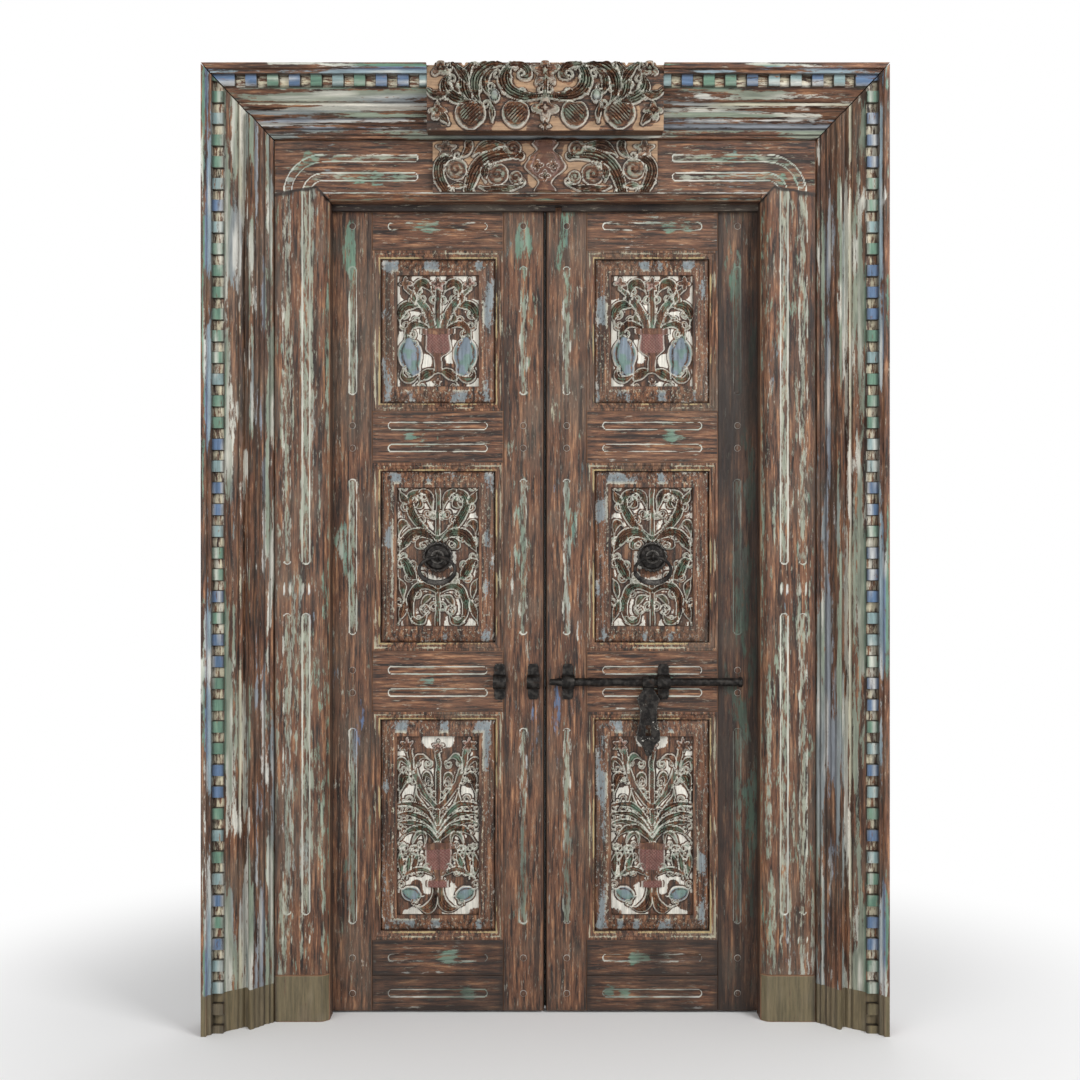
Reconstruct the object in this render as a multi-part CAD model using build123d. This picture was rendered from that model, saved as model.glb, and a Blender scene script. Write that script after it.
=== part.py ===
from build123d import *

import math
import os

# A carved double door of painted hardwood in its moulded frame.
# X runs along the wall, +Y into the building, +Z up. The origin is on the floor under the middle of the door.
# All lengths are in millimetres.

# Frame
OPENING_WIDTH = 1018.0
OPENING_HEIGHT = 1936.0
JAMB_WIDTH = 128.0
JAMB_DEPTH = 115.0
JAMB_CHAMFER = 16.0
JAMB_FOOT_HEIGHT = 110.0
LINTEL_HEIGHT = 140.0
SHOULDER_PEAK = 30.0
SHOULDER_DROP = 17.0
HEAD_STOP_HEIGHT = 15.0
HEAD_STOP_THICKNESS = 18.0
HEAD_NOTCH_WIDTH = 15.0
HEAD_NOTCH_HEIGHT = 11.0
HEAD_NOTCH_OFFSET = 25.0

# Casing round the frame
CASING_WIDTH = 150.0
CASING_PROUD = 105.0
CASING_SEAT = 30.0
CASING_FOOT_HEIGHT = 92.0
MITRE_GAP = 3.0
DENTIL_PITCH = 50.0
DENTIL_HEIGHT = 26.0
DENTIL_START = 18.0

# Carved blocks over the door
CREST_WIDTH = 544.0
CREST_OVERHANG = 6.0
CREST_BLOCK = 45.0
CREST_RELIEF = 20.0
LINTEL_BLOCK_WIDTH = 528.0
LINTEL_BLOCK_MARGIN = 4.0
LINTEL_BLOCK_THICKNESS = 8.0
LINTEL_RELIEF = 13.0

# Flutes
FLUTE_WIDTH = 20.0
FLUTE_DEPTH = 3.0
FLUTE_INSET = 38.0
RAIL_FLUTE_LENGTH = 240.0
RAIL_FLUTE_SPREAD = 54.0
JAMB_FLUTE_SPREAD = 44.0
JAMB_FLUTE_OFFSET = 54.0
JAMB_FLUTE_BREAK_Z = 1020.0
JAMB_FLUTE_FOOT_Z = 195.0
JAMB_FLUTE_CLEARANCE = 57.0
LINTEL_FLUTE_RADIUS = 85.0
LINTEL_FLUTE_END_X = 308.0

# Door leaves
LEAF_THICKNESS = 45.0
REBATE_WIDTH = 14.0
MEETING_GAP = 8.0
MEETING_BACK_GAP = 1.0
HINGE_GAP = 3.0
TOP_GAP = 4.0
FLOOR_GAP = 5.0
STOP_GAP = 0.5
OUTER_STILE_WIDTH = 105.0
MEETING_STILE_WIDTH = 96.0
KICK_RAIL_HEIGHT = 84.0
BOTTOM_RAIL_HEIGHT = 86.0
LOCK_RAIL_HEIGHT = 147.0
UPPER_RAIL_HEIGHT = 125.0
TOP_RAIL_HEIGHT = 116.0
PEG_RADIUS = 8.0
PEG_PROUD = 2.5
LOWER_PANEL_SHARE = 0.395517
MIDDLE_PANEL_SHARE = 0.326103

# Panels and their mouldings, as depths behind the leaf's front face
PANEL_THICKNESS = 12.0
PANEL_BACK_DEPTH = 32.0
BEVEL_FOOT_DEPTH = 16.0
BORDER_DEPTH = 3.0
BEVEL_WIDTH = 30.0
BORDER_WIDTH = 10.0
FIELD_DEPTH = 12.0
MOULDING_WIDTH = 20.0
MOULDING_DEPTH = 1.0

# Ring pulls
ROSETTE_RADIUS = 38.0
ROSETTE_NOTCH = 3.5
ROSETTE_STEP = 4.5
ROSETTE_TIER_RADIUS = 28.0
ROSETTE_BOSS_RADIUS = 16.0
EYE_RADIUS = 12.0
EYE_HOLE_RADIUS = 6.8
EYE_THICKNESS = 6.0
EYE_GAP = 0.6
SHANK_RADIUS = 5.0
PULL_HALF_WIDTH = 47.0
PULL_HALF_HEIGHT = 36.0
PULL_SIDE = 8.0
PULL_TOP = 8.0
PULL_BOTTOM = 13.0
PULL_THICKNESS = 8.0

# Slide bolt, as it stands when drawn back
BOLT_RADIUS = 10.0
BOLT_END_CLEARANCE = 37.0
BOLT_TRAVEL = 158.0
BOLT_HEAD_GAP = 4.0
BOLT_TIP_RADIUS = 8.0
BOLT_TIP_LENGTH = 18.0
BOLT_HEAD_RADIUS = 13.0
BOLT_HEAD_LENGTH = 10.0
BOLT_STANDOFF = 15.4
BOLT_SET_BACK = 6.0
KEEPER_FIT = 2.4
KEEPER_THICKNESS = 4.0
KEEPER_HALF_HEIGHT = 43.0
KEEPER_WIDTH = 32.0
KEEPER_WAIST = 24.0
KEEPER_WAIST_RISE = 23.0
LEFT_KEEPER_XS = (-109.0, -28.0)
MEETING_KEEPER_X = 55.0
HASP_FIT = 0.3
HASP_GAP = 6.0
HASP_EYE_WIDTH = 30.0
HASP_EYE_WALL = 4.0
HASP_THICKNESS = 6.0
HASP_LENGTH = 176.0
HASP_HALF_WIDTH = 29.0
HASP_SLOT_WIDTH = 14.0
HASP_SLOT_LENGTH = 26.0
HASP_SLOT_DROP = 116.0

# Butt hinges behind the leaves
HINGE_HEIGHT = 100.0
HINGE_PLATE = 3.0
HINGE_PLATE_WIDTH = 32.0
KNUCKLE_RADIUS = 7.0
KNUCKLE_GAP = 0.5
KNUCKLE_CLEARANCE = 0.5
PIN_RADIUS = 4.0
PIN_FIT = 0.3
HINGE_HEIGHT_SHARES = (0.12, 0.5, 0.88)

# How far a cut runs past the face that it goes through
OVERRUN = 40.0

# How many flats stand for a stroke, a petal's rim, a flute's end and bend, and the forged rounds
STROKE_STEPS = 3
PETAL_STEPS = 2
FLUTE_END_STEPS = 3
FLUTE_BEND_STEPS = 3
BOSS_SIDES = 8
EYE_SIDES = 8
PULL_SIDES = 14
ROSETTE_TEETH = 11
BAR_SIDES = 10
ARCH_STEPS = 4
PEG_SIDES = 6

# Section of the casing from its inner edge to its outer one: share of its width, share of its projection.
CASING_INNER_SHARES = (
    (0.0, -0.08), (0.02, 0.04), (0.06, 0.06), (0.065, 0.11), (0.135, 0.15), (0.14, 0.23),
    (0.19, 0.285), (0.2, 0.34), (0.25, 0.4), (0.26, 0.46), (0.305, 0.53), (0.335, 0.5),
    (0.375, 0.34), (0.415, 0.32), (0.455, 0.4), (0.495, 0.42), (0.505, 0.46), (0.6, 0.55), (0.685, 0.665),
)
DENTIL_BAND_SHARES = (0.69, 0.855)
DENTIL_FACE_SHARE = 0.78
CASING_OUTER_SHARES = ((0.86, 0.875), (0.915, 0.895), (0.92, 1.0), (1.0, 1.0))

# Section of a panel moulding: share of its width from the leaf's opening, share of its depth to the panel.
MOULDING_SHARES = ((0.0, 0.0), (0.3, 0.0), (1.0, 0.55), (1.0, 1.0), (0.0, 1.0))

# Outline of the hasp: share of its half width, share of its length below the bolt.
HASP_SHARES = (
    (0.45, 0.0), (0.48, 0.11), (0.97, 0.23), (0.72, 0.35), (0.72, 0.52), (1.0, 0.69),
    (0.97, 0.79), (0.56, 0.86), (0.32, 0.94), (0.2, 1.0),
)

# Carving. A stroke is a curve through control points with widths along it. The points are shares of the field's
# half width, counted from its middle, and of its height, counted from its foot. Widths and radii are shares of
# the half width. Strokes off the middle are cut on both sides.
UPPER_STROKE_SHARES = (
    (((0.0, 0.5), (0.0, 0.68), (0.0, 0.88)), (0.16, 0.14, 0.14)),
    (((0.12, 0.5), (0.2, 0.72), (0.8, 0.89)), (0.16, 0.2, 0.1)),
    (((0.12, 0.82), (0.25, 1.0), (0.66, 0.97), (0.5, 0.79)), (0.0, 0.2, 0.2, 0.0)),
    (((0.4, 0.69), (0.7, 0.8), (1.02, 0.72), (0.92, 0.55)), (0.0, 0.22, 0.24, 0.0)),
    (((0.28, 0.53), (0.7, 0.62), (0.82, 0.5), (0.7, 0.38)), (0.1, 0.18, 0.16, 0.16)),
    (((0.7, 0.41), (0.68, 0.3), (0.72, 0.14), (0.46, 0.07)), (0.3, 0.62, 0.42, 0.0)),
    (((0.03, 0.13), (0.3, 0.14), (0.48, 0.02)), (0.1, 0.26, 0.0)),
)
UPPER_FLOWER_SHARES = ((0.0, 0.925, 0.2, 5), (0.79, 0.93, 0.18, 4))
UPPER_POT_SHARES = ((0.1, 0.13), (0.1, 0.25), (0.33, 0.34), (0.3, 0.46), (0.43, 0.475), (0.43, 0.515))

MIDDLE_STROKE_SHARES = (
    (((0.0, 0.6), (0.0, 0.8), (0.0, 0.995)), (0.13, 0.11, 0.13)),
    (((0.0, 0.005), (0.0, 0.12), (0.0, 0.3)), (0.13, 0.11, 0.13)),
    (((0.04, 0.64), (0.75, 0.76), (0.95, 1.0), (0.34, 0.97)), (0.12, 0.22, 0.2, 0.12)),
    (((0.64, 0.7), (0.96, 0.82), (0.95, 0.62)), (0.0, 0.2, 0.0)),
    (((0.07, 0.6), (0.5, 0.78), (0.84, 0.62), (0.96, 0.52)), (0.12, 0.24, 0.26, 0.0)),
    (((0.97, 0.48), (0.7, 0.5), (0.8, 0.36), (0.46, 0.33)), (0.0, 0.22, 0.26, 0.0)),
    (((0.05, 0.25), (0.56, 0.38), (0.84, 0.18), (0.6, 0.03)), (0.12, 0.2, 0.2, 0.12)),
    (((0.62, 0.05), (0.4, -0.02), (0.24, 0.1)), (0.0, 0.16, 0.0)),
)
MIDDLE_FLOWER_SHARES = ()
MIDDLE_POT_SHARES = ()

LOWER_STROKE_SHARES = (
    (((0.0, 0.39), (0.0, 0.65), (0.0, 0.93)), (0.17, 0.13, 0.13)),
    (((0.05, 0.6), (0.62, 0.74), (0.7, 0.93)), (0.12, 0.16, 0.14)),
    (((0.62, 0.75), (0.9, 0.84), (0.94, 0.63)), (0.0, 0.24, 0.0)),
    (((0.05, 0.49), (0.4, 0.66), (0.97, 0.615)), (0.07, 0.17, 0.08)),
    (((0.05, 0.42), (0.5, 0.56), (0.96, 0.4)), (0.1, 0.22, 0.0)),
    (((0.72, 0.2), (0.7, 0.28), (0.62, 0.365)), (0.0, 0.3, 0.0)),
    (((0.38, 0.1), (0.66, 0.1), (0.96, 0.15)), (0.0, 0.4, 0.0)),
    (((0.07, 0.16), (0.04, -0.02), (0.6, 0.05)), (0.14, 0.26, 0.0)),
)
LOWER_FLOWER_SHARES = ((0.0, 0.945, 0.16, 5), (0.77, 0.95, 0.2, 6))
LOWER_POT_SHARES = (
    (0.27, 0.155), (0.27, 0.185), (0.1, 0.2), (0.34, 0.29), (0.33, 0.365), (0.47, 0.37), (0.47, 0.4),
)

CREST_STROKE_SHARES = (
    (((0.0, 0.42), (0.0, 0.55), (0.0, 0.78)), (0.06, 0.05, 0.06)),
    (((0.01, 0.46), (0.26, 0.46), (0.42, 0.74), (0.29, 0.99)), (0.06, 0.13, 0.17, 0.07)),
    (((0.46, 0.36), (0.7, 0.66), (0.6, 1.02), (0.33, 0.95)), (0.0, 0.14, 0.16, 0.0)),
    (((0.58, 0.62), (0.62, 0.9), (0.79, 0.97)), (0.0, 0.12, 0.06)),
    (((0.62, 0.32), (0.6, 0.5), (0.82, 0.52), (0.86, 0.8)), (0.0, 0.12, 0.12, 0.05)),
    (((0.99, 0.6), (0.86, 0.36), (0.72, 0.62)), (0.08, 0.12, 0.0)),
    (((0.01, 0.05), (0.16, 0.12), (0.12, 0.42), (0.01, 0.42)), (0.07, 0.11, 0.11, 0.06)),
)
CREST_FLOWER_SHARES = ((0.0, 0.83, 0.13, 5), (0.92, 0.88, 0.1, 3), (0.27, 0.25, 0.135, 0), (0.64, 0.24, 0.14, 0))
CREST_POT_SHARES = ()

LINTEL_STROKE_SHARES = (
    (((0.22, 0.7), (0.52, 0.86), (0.64, 0.5), (0.68, 0.04)), (0.08, 0.17, 0.16, 0.1)),
    (((0.64, 0.7), (0.54, 1.0), (0.34, 0.9)), (0.0, 0.13, 0.0)),
    (((0.74, 0.62), (1.0, 0.8), (0.98, 0.3), (0.88, 0.03)), (0.0, 0.12, 0.13, 0.1)),
)
LINTEL_FLOWER_SHARES = (
    (0.29, 0.82, 0.075, 0), (0.88, 0.84, 0.1, 5), (0.42, 0.34, 0.1, 0), (0.79, 0.4, 0.1, 0),
)
LINTEL_POT_SHARES = (
    (0.13, 0.03), (0.11, 0.16), (0.19, 0.44), (0.17, 0.6), (0.08, 0.76), (0.13, 0.9), (0.05, 0.97),
)

# Levels and lines that follow from the sizes
TOTAL_DEPTH = CASING_PROUD + JAMB_DEPTH + KNUCKLE_GAP + 2 * KNUCKLE_RADIUS
FRONT_Y = -TOTAL_DEPTH / 2
JAMB_FRONT_Y = FRONT_Y + CASING_PROUD
JAMB_BACK_Y = JAMB_FRONT_Y + JAMB_DEPTH
LEAF_BACK_Y = JAMB_BACK_Y
LEAF_FRONT_Y = LEAF_BACK_Y - LEAF_THICKNESS
STOP_Y = LEAF_FRONT_Y - STOP_GAP
HINGE_Y = JAMB_BACK_Y + KNUCKLE_GAP + KNUCKLE_RADIUS

OPENING_X = OPENING_WIDTH / 2
JAMB_OUTER_X = OPENING_X + JAMB_WIDTH
CASING_OUTER_X = JAMB_OUTER_X + CASING_WIDTH
REBATE_X = OPENING_X + REBATE_WIDTH
LEAF_OUTER_X = REBATE_X - HINGE_GAP
LEAF_INNER_X = MEETING_GAP / 2
HINGE_X = (REBATE_X + LEAF_OUTER_X) / 2
PANEL_OUTER_X = LEAF_OUTER_X - OUTER_STILE_WIDTH
PANEL_INNER_X = LEAF_INNER_X + MEETING_STILE_WIDTH
PANEL_MIDDLE_X = (PANEL_OUTER_X + PANEL_INNER_X) / 2
PANEL_WIDTH = PANEL_OUTER_X - PANEL_INNER_X
OUTER_FLUTE_X = (OPENING_X + PANEL_OUTER_X) / 2
MEETING_FLUTE_X = (LEAF_INNER_X + PANEL_INNER_X) / 2

SOFFIT_Z = OPENING_HEIGHT
LINTEL_TOP_Z = SOFFIT_Z + LINTEL_HEIGHT
CASING_TOP_Z = LINTEL_TOP_Z + CASING_WIDTH
LEAF_BOTTOM_Z = FLOOR_GAP
LEAF_TOP_Z = SOFFIT_Z + REBATE_WIDTH - TOP_GAP
KICK_TOP_Z = LEAF_BOTTOM_Z + KICK_RAIL_HEIGHT
BOTTOM_TOP_Z = KICK_TOP_Z + BOTTOM_RAIL_HEIGHT
TOP_FOOT_Z = LEAF_TOP_Z - TOP_RAIL_HEIGHT
PANEL_HEIGHTS = TOP_FOOT_Z - BOTTOM_TOP_Z - LOCK_RAIL_HEIGHT - UPPER_RAIL_HEIGHT
LOCK_FOOT_Z = BOTTOM_TOP_Z + LOWER_PANEL_SHARE * PANEL_HEIGHTS
LOCK_TOP_Z = LOCK_FOOT_Z + LOCK_RAIL_HEIGHT
UPPER_FOOT_Z = LOCK_TOP_Z + MIDDLE_PANEL_SHARE * PANEL_HEIGHTS
UPPER_TOP_Z = UPPER_FOOT_Z + UPPER_RAIL_HEIGHT
BOLT_Z = (LOCK_FOOT_Z + LOCK_TOP_Z) / 2
BOLT_Y = LEAF_FRONT_Y - BOLT_STANDOFF
BOLT_TIP_X = LEAF_INNER_X + BOLT_SET_BACK
BOLT_END_X = OPENING_X - BOLT_END_CLEARANCE
END_KEEPER_X = BOLT_END_X - BOLT_HEAD_LENGTH - BOLT_TRAVEL - BOLT_HEAD_GAP - KEEPER_WIDTH / 2
HASP_X = END_KEEPER_X - KEEPER_WIDTH / 2 - HASP_GAP - HASP_EYE_WIDTH / 2
PULL_Z = (LOCK_TOP_Z + UPPER_FOOT_Z) / 2
ROSETTE_BACK_Y = LEAF_FRONT_Y + BORDER_DEPTH
EYE_Y = ROSETTE_BACK_Y - 3 * ROSETTE_STEP - EYE_GAP - EYE_RADIUS

# Each rail's foot and head, and which rails carry a pair of flutes rather than one
RAILS = {
    "kick_rail": (LEAF_BOTTOM_Z, KICK_TOP_Z),
    "bottom_rail": (KICK_TOP_Z, BOTTOM_TOP_Z),
    "lock_rail": (LOCK_FOOT_Z, LOCK_TOP_Z),
    "upper_rail": (UPPER_FOOT_Z, UPPER_TOP_Z),
    "top_rail": (TOP_FOOT_Z, LEAF_TOP_Z),
}
PAIRED_FLUTE_RAILS = ("lock_rail", "upper_rail")

# Each panel's foot and head, with its carving
PANELS = {
    "lower": (BOTTOM_TOP_Z, LOCK_FOOT_Z, LOWER_STROKE_SHARES, LOWER_FLOWER_SHARES, LOWER_POT_SHARES),
    "middle": (LOCK_TOP_Z, UPPER_FOOT_Z, MIDDLE_STROKE_SHARES, MIDDLE_FLOWER_SHARES, MIDDLE_POT_SHARES),
    "upper": (UPPER_TOP_Z, TOP_FOOT_Z, UPPER_STROKE_SHARES, UPPER_FLOWER_SHARES, UPPER_POT_SHARES),
}


def block(x0, x1, y0, y1, z0, z1):
    """A rectangular board between two corners."""
    middle = Pos((x0 + x1) / 2, (y0 + y1) / 2, (z0 + z1) / 2)
    return middle * Box(x1 - x0, y1 - y0, z1 - z0)


def facing(y):
    """The upright plane at depth y, seen from the front: its x is X and its y is Z."""
    return Plane(origin=(0, y, 0), x_dir=(1, 0, 0), z_dir=(0, -1, 0))


def area(points):
    """Twice the area inside a ring of points, negative when they run clockwise."""
    return sum(a[0] * b[1] - b[0] * a[1] for a, b in zip(points, [*points[1:], points[0]]))


def outline(points):
    """A flat face inside a ring of points, whichever way round they run."""
    ring = points if area(points) > 0 else list(reversed(points))
    return Polygon(*ring, align=None)


def front_prism(points, y_back, y_front):
    """An outline drawn from the front, as X and Z, carried from y_back forward to y_front."""
    return extrude(facing(y_back) * outline(points), amount=y_back - y_front)


def side_prism(points, x0, x1):
    """An outline drawn from the side, as Y and Z, carried along X."""
    across = Plane(origin=(x0, 0, 0), x_dir=(0, 1, 0), z_dir=(1, 0, 0))
    return extrude(across * outline(points), amount=x1 - x0)


def mirrored(shape):
    """The other hand of a piece."""
    return mirror(shape, about=Plane.YZ)


def round_end(x, z, radius, first, steps):
    """The corners of a half round in flats, from a first angle in degrees."""
    turns = [math.radians(first + 180 * step / steps) for step in range(steps + 1)]
    return [(x + radius * math.cos(turn), z + radius * math.sin(turn)) for turn in turns]


def sunk(rim, y_face):
    """The cutter for a shallow sunk place in a front face."""
    return front_prism(rim, y_face + FLUTE_DEPTH, y_face - OVERRUN)


def flute(x, z, length, y_face, upright):
    """The cutter for one shallow flute, with its ends brought round in flats."""
    radius = FLUTE_WIDTH / 2
    reach = length / 2 - radius
    if upright:
        ends = [(x, z + reach, 0), (x, z - reach, 180)]
    else:
        ends = [(x + reach, z, -90), (x - reach, z, 90)]
    rim = [point for u, v, first in ends for point in round_end(u, v, radius, first, FLUTE_END_STEPS)]
    return sunk(rim, y_face)


def curve_point(controls, t):
    """The point of a Bezier curve at t, by repeated halving between its control points."""
    while len(controls) > 1:
        controls = [
            tuple(a + (b - a) * t for a, b in zip(p, q)) for p, q in zip(controls, controls[1:])
        ]
    return controls[0]


def width_at(widths, t):
    """The width along a stroke at t, in straight runs between the given ones."""
    place = t * (len(widths) - 1)
    low = min(int(place), len(widths) - 2)
    return widths[low] + (widths[low + 1] - widths[low]) * (place - low)


def stroke(controls, widths, half, height):
    """The rim of a carved stroke: half its width to either side of its curve, or a point where that is nothing."""
    line = [(u * half, v * height) for u, v in controls]
    left, right = [], []
    for step in range(STROKE_STEPS + 1):
        t = step / STROKE_STEPS
        early = curve_point(line, max(t - 0.5 / STROKE_STEPS, 0.0))
        late = curve_point(line, min(t + 0.5 / STROKE_STEPS, 1.0))
        x, z = curve_point(line, t)
        run = math.hypot(late[0] - early[0], late[1] - early[1])
        reach = width_at(widths, t) * half / 2 / run
        across_x = (late[1] - early[1]) * reach
        across_z = (late[0] - early[0]) * reach
        left.append((x - across_x, z + across_z))
        if reach > 0:
            right.append((x + across_x, z - across_z))
    return [*left, *reversed(right)]


def flower(u, v, radius_share, petals, half, height):
    """The rim of a flower, which swells once a petal, or of a plain boss where it has no petals."""
    radius = radius_share * half
    steps = petals * PETAL_STEPS if petals else BOSS_SIDES
    rim = []
    for step in range(steps):
        turn = 2 * math.pi * step / steps
        reach = radius * (0.78 + 0.22 * math.cos(petals * turn)) if petals else radius
        rim.append((u * half + reach * math.sin(turn), v * height + reach * math.cos(turn)))
    return rim


def pot(shares, half, height):
    """The rim of a vase, the same on both sides of the middle."""
    side = [(u * half, v * height) for u, v in shares]
    return [*side, *[(-x, z) for x, z in reversed(side)]]


def carving(half, height, strokes, flowers, pot_shares):
    """All of one field's motifs joined into one flat outline, from the middle of the field's foot."""
    rims = []
    for controls, widths in strokes:
        rims.append((stroke(controls, widths, half, height), any(u for u, v in controls)))
    for row in flowers:
        rims.append((flower(*row, half, height), row[0] > 0))
    if pot_shares:
        rims.append((pot(pot_shares, half, height), False))
    motifs = []
    for rim, paired in rims:
        motifs.append(outline(rim))
        if paired:
            motifs.append(outline([(-x, z) for x, z in rim]))
    field = Pos(0, height / 2) * Rectangle(2 * half, height)
    return (Sketch() + motifs) & field


def shoulder_line():
    """The joint between a jamb's head and the lintel: a mitre at the opening, then a falling shoulder."""
    return [
        (OPENING_X, SOFFIT_Z),
        (OPENING_X + SHOULDER_PEAK, SOFFIT_Z + SHOULDER_PEAK),
        (JAMB_OUTER_X, SOFFIT_Z + SHOULDER_PEAK - SHOULDER_DROP),
    ]


def jamb_section():
    """The right jamb's section: chamfered at the front of the opening, rebated at its back for the leaf."""
    return outline([
        (OPENING_X + JAMB_CHAMFER, JAMB_FRONT_Y), (JAMB_OUTER_X, JAMB_FRONT_Y), (JAMB_OUTER_X, JAMB_BACK_Y),
        (REBATE_X, JAMB_BACK_Y), (REBATE_X, STOP_Y), (OPENING_X, STOP_Y),
        (OPENING_X, JAMB_FRONT_Y + JAMB_CHAMFER),
    ])


def jamb_flute_xs():
    """The middles of a jamb's two flutes, the inner one first."""
    inner = OPENING_X + JAMB_FLUTE_OFFSET
    return inner, inner + JAMB_FLUTE_SPREAD


def jamb():
    """The right jamb, from its spliced foot to the lintel, with its flutes and hinge recesses."""
    post = extrude(Pos(0, 0, JAMB_FOOT_HEIGHT) * jamb_section(), amount=LINTEL_TOP_Z - JAMB_FOOT_HEIGHT)
    head = shoulder_line()
    above = [*head, (JAMB_OUTER_X + OVERRUN, head[2][1]), (JAMB_OUTER_X + OVERRUN, LINTEL_TOP_Z + OVERRUN)]
    above += [(OPENING_X - OVERRUN, LINTEL_TOP_Z + OVERRUN), (OPENING_X - OVERRUN, SOFFIT_Z)]
    cuts = [front_prism(above, JAMB_BACK_Y + OVERRUN, JAMB_FRONT_Y - OVERRUN)]
    for x in jamb_flute_xs():
        upper_foot = JAMB_FLUTE_BREAK_Z + JAMB_FLUTE_CLEARANCE
        upper_length = LINTEL_TOP_Z - upper_foot
        cuts.append(flute(x, upper_foot + upper_length / 2, upper_length, JAMB_FRONT_Y, True))
        lower_head = JAMB_FLUTE_BREAK_Z - JAMB_FLUTE_CLEARANCE
        lower_foot = JAMB_FLUTE_FOOT_Z + JAMB_FLUTE_CLEARANCE
        lower_length = lower_head - lower_foot
        cuts.append(flute(x, lower_foot + lower_length / 2, lower_length, JAMB_FRONT_Y, True))
    cuts += [plate(REBATE_X, REBATE_X + HINGE_PLATE, z) for z in hinge_feet()]
    return post - cuts


def jamb_foot():
    """The right jamb's spliced foot."""
    return extrude(jamb_section(), amount=JAMB_FOOT_HEIGHT)


def lintel_flute(radius):
    """The cutter for one lintel flute: level from its round end, then bent down to the jamb's flute."""
    bend_x = JAMB_OUTER_X - JAMB_WIDTH + JAMB_FLUTE_OFFSET + JAMB_FLUTE_SPREAD - LINTEL_FLUTE_RADIUS
    bend_z = SOFFIT_Z + SHOULDER_PEAK - SHOULDER_DROP
    outer, inner = radius + FLUTE_WIDTH / 2, radius - FLUTE_WIDTH / 2
    turns = [math.pi / 2 * step / FLUTE_BEND_STEPS for step in range(FLUTE_BEND_STEPS + 1)]
    rim = [(bend_x + outer * math.cos(turn), bend_z + outer * math.sin(turn)) for turn in turns]
    rim += round_end(LINTEL_FLUTE_END_X, bend_z + radius, FLUTE_WIDTH / 2, 90, FLUTE_END_STEPS)
    rim += [(bend_x + inner * math.cos(turn), bend_z + inner * math.sin(turn)) for turn in reversed(turns)]
    return sunk(rim, JAMB_FRONT_Y)


def lintel():
    """The lintel over both jambs, chamfered and rebated as they are, with its bent flutes."""
    section = [
        (JAMB_FRONT_Y + JAMB_CHAMFER, SOFFIT_Z), (STOP_Y, SOFFIT_Z), (STOP_Y, SOFFIT_Z + REBATE_WIDTH),
        (JAMB_BACK_Y, SOFFIT_Z + REBATE_WIDTH), (JAMB_BACK_Y, LINTEL_TOP_Z), (JAMB_FRONT_Y, LINTEL_TOP_Z),
        (JAMB_FRONT_Y, SOFFIT_Z + JAMB_CHAMFER),
    ]
    beam = side_prism(section, -JAMB_OUTER_X, JAMB_OUTER_X)
    head = shoulder_line()
    under = [*head, (JAMB_OUTER_X + OVERRUN, head[2][1]), (JAMB_OUTER_X + OVERRUN, SOFFIT_Z - OVERRUN)]
    under += [(OPENING_X, SOFFIT_Z - OVERRUN)]
    seat = front_prism(under, JAMB_BACK_Y + OVERRUN, JAMB_FRONT_Y - OVERRUN)
    outer = lintel_flute(LINTEL_FLUTE_RADIUS)
    inner = lintel_flute(LINTEL_FLUTE_RADIUS - JAMB_FLUTE_SPREAD)
    return beam - [seat, mirrored(seat), outer, mirrored(outer), inner, mirrored(inner)]


def head_stop():
    """The strip under the lintel that the leaves close against, notched beside the middle."""
    foot = SOFFIT_Z - HEAD_STOP_HEIGHT
    strip = block(-OPENING_X, OPENING_X, STOP_Y - HEAD_STOP_THICKNESS, STOP_Y, foot, SOFFIT_Z)
    notch_end = HEAD_NOTCH_OFFSET + HEAD_NOTCH_WIDTH
    notch = block(
        HEAD_NOTCH_OFFSET, notch_end, STOP_Y - HEAD_STOP_THICKNESS - OVERRUN, STOP_Y + OVERRUN,
        foot - OVERRUN, foot + HEAD_NOTCH_HEIGHT,
    )
    return strip - notch


def casing_outline():
    """The casing's section as (distance from its inner edge, projection in front of the jamb)."""
    face = DENTIL_FACE_SHARE
    band = [(share, face) for share in DENTIL_BAND_SHARES]
    front = [*CASING_INNER_SHARES, *band, *CASING_OUTER_SHARES]
    front = [(across * CASING_WIDTH, proud * CASING_PROUD) for across, proud in front]
    return [*front, (CASING_WIDTH, -CASING_SEAT), (0, -CASING_SEAT)]


def dentil_starts(length, first):
    """Where each sunk place of the dentil band begins along a run."""
    count = int((length - first) / DENTIL_PITCH)
    return [first + DENTIL_PITCH * index for index in range(count)]


def dentil_band():
    """The inner edge, the outer edge, the front and the floor of the dentil band's sunk places."""
    foot = CASING_INNER_SHARES[-1]
    floor = JAMB_FRONT_Y - foot[1] * CASING_PROUD
    return foot[0] * CASING_WIDTH, DENTIL_BAND_SHARES[1] * CASING_WIDTH, FRONT_Y - OVERRUN, floor


def side_casing_run():
    """The right side casing from the floor to above the mitre, before it is cut to length."""
    section = [(JAMB_OUTER_X + across, JAMB_FRONT_Y - proud) for across, proud in casing_outline()]
    run = extrude(outline(section), amount=CASING_TOP_Z)
    low, high, front, floor = dentil_band()
    gap = DENTIL_PITCH - DENTIL_HEIGHT
    starts = dentil_starts(CASING_TOP_Z, DENTIL_START)
    return run - [block(JAMB_OUTER_X + low, JAMB_OUTER_X + high, front, floor, z, z + gap) for z in starts]


def mitre_line(shift):
    """The two ends of the casing's mitre, run past both edges and moved up by a shift."""
    return [
        (JAMB_OUTER_X - OVERRUN, LINTEL_TOP_Z - OVERRUN + shift),
        (CASING_OUTER_X + OVERRUN, CASING_TOP_Z + OVERRUN + shift),
    ]


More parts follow.
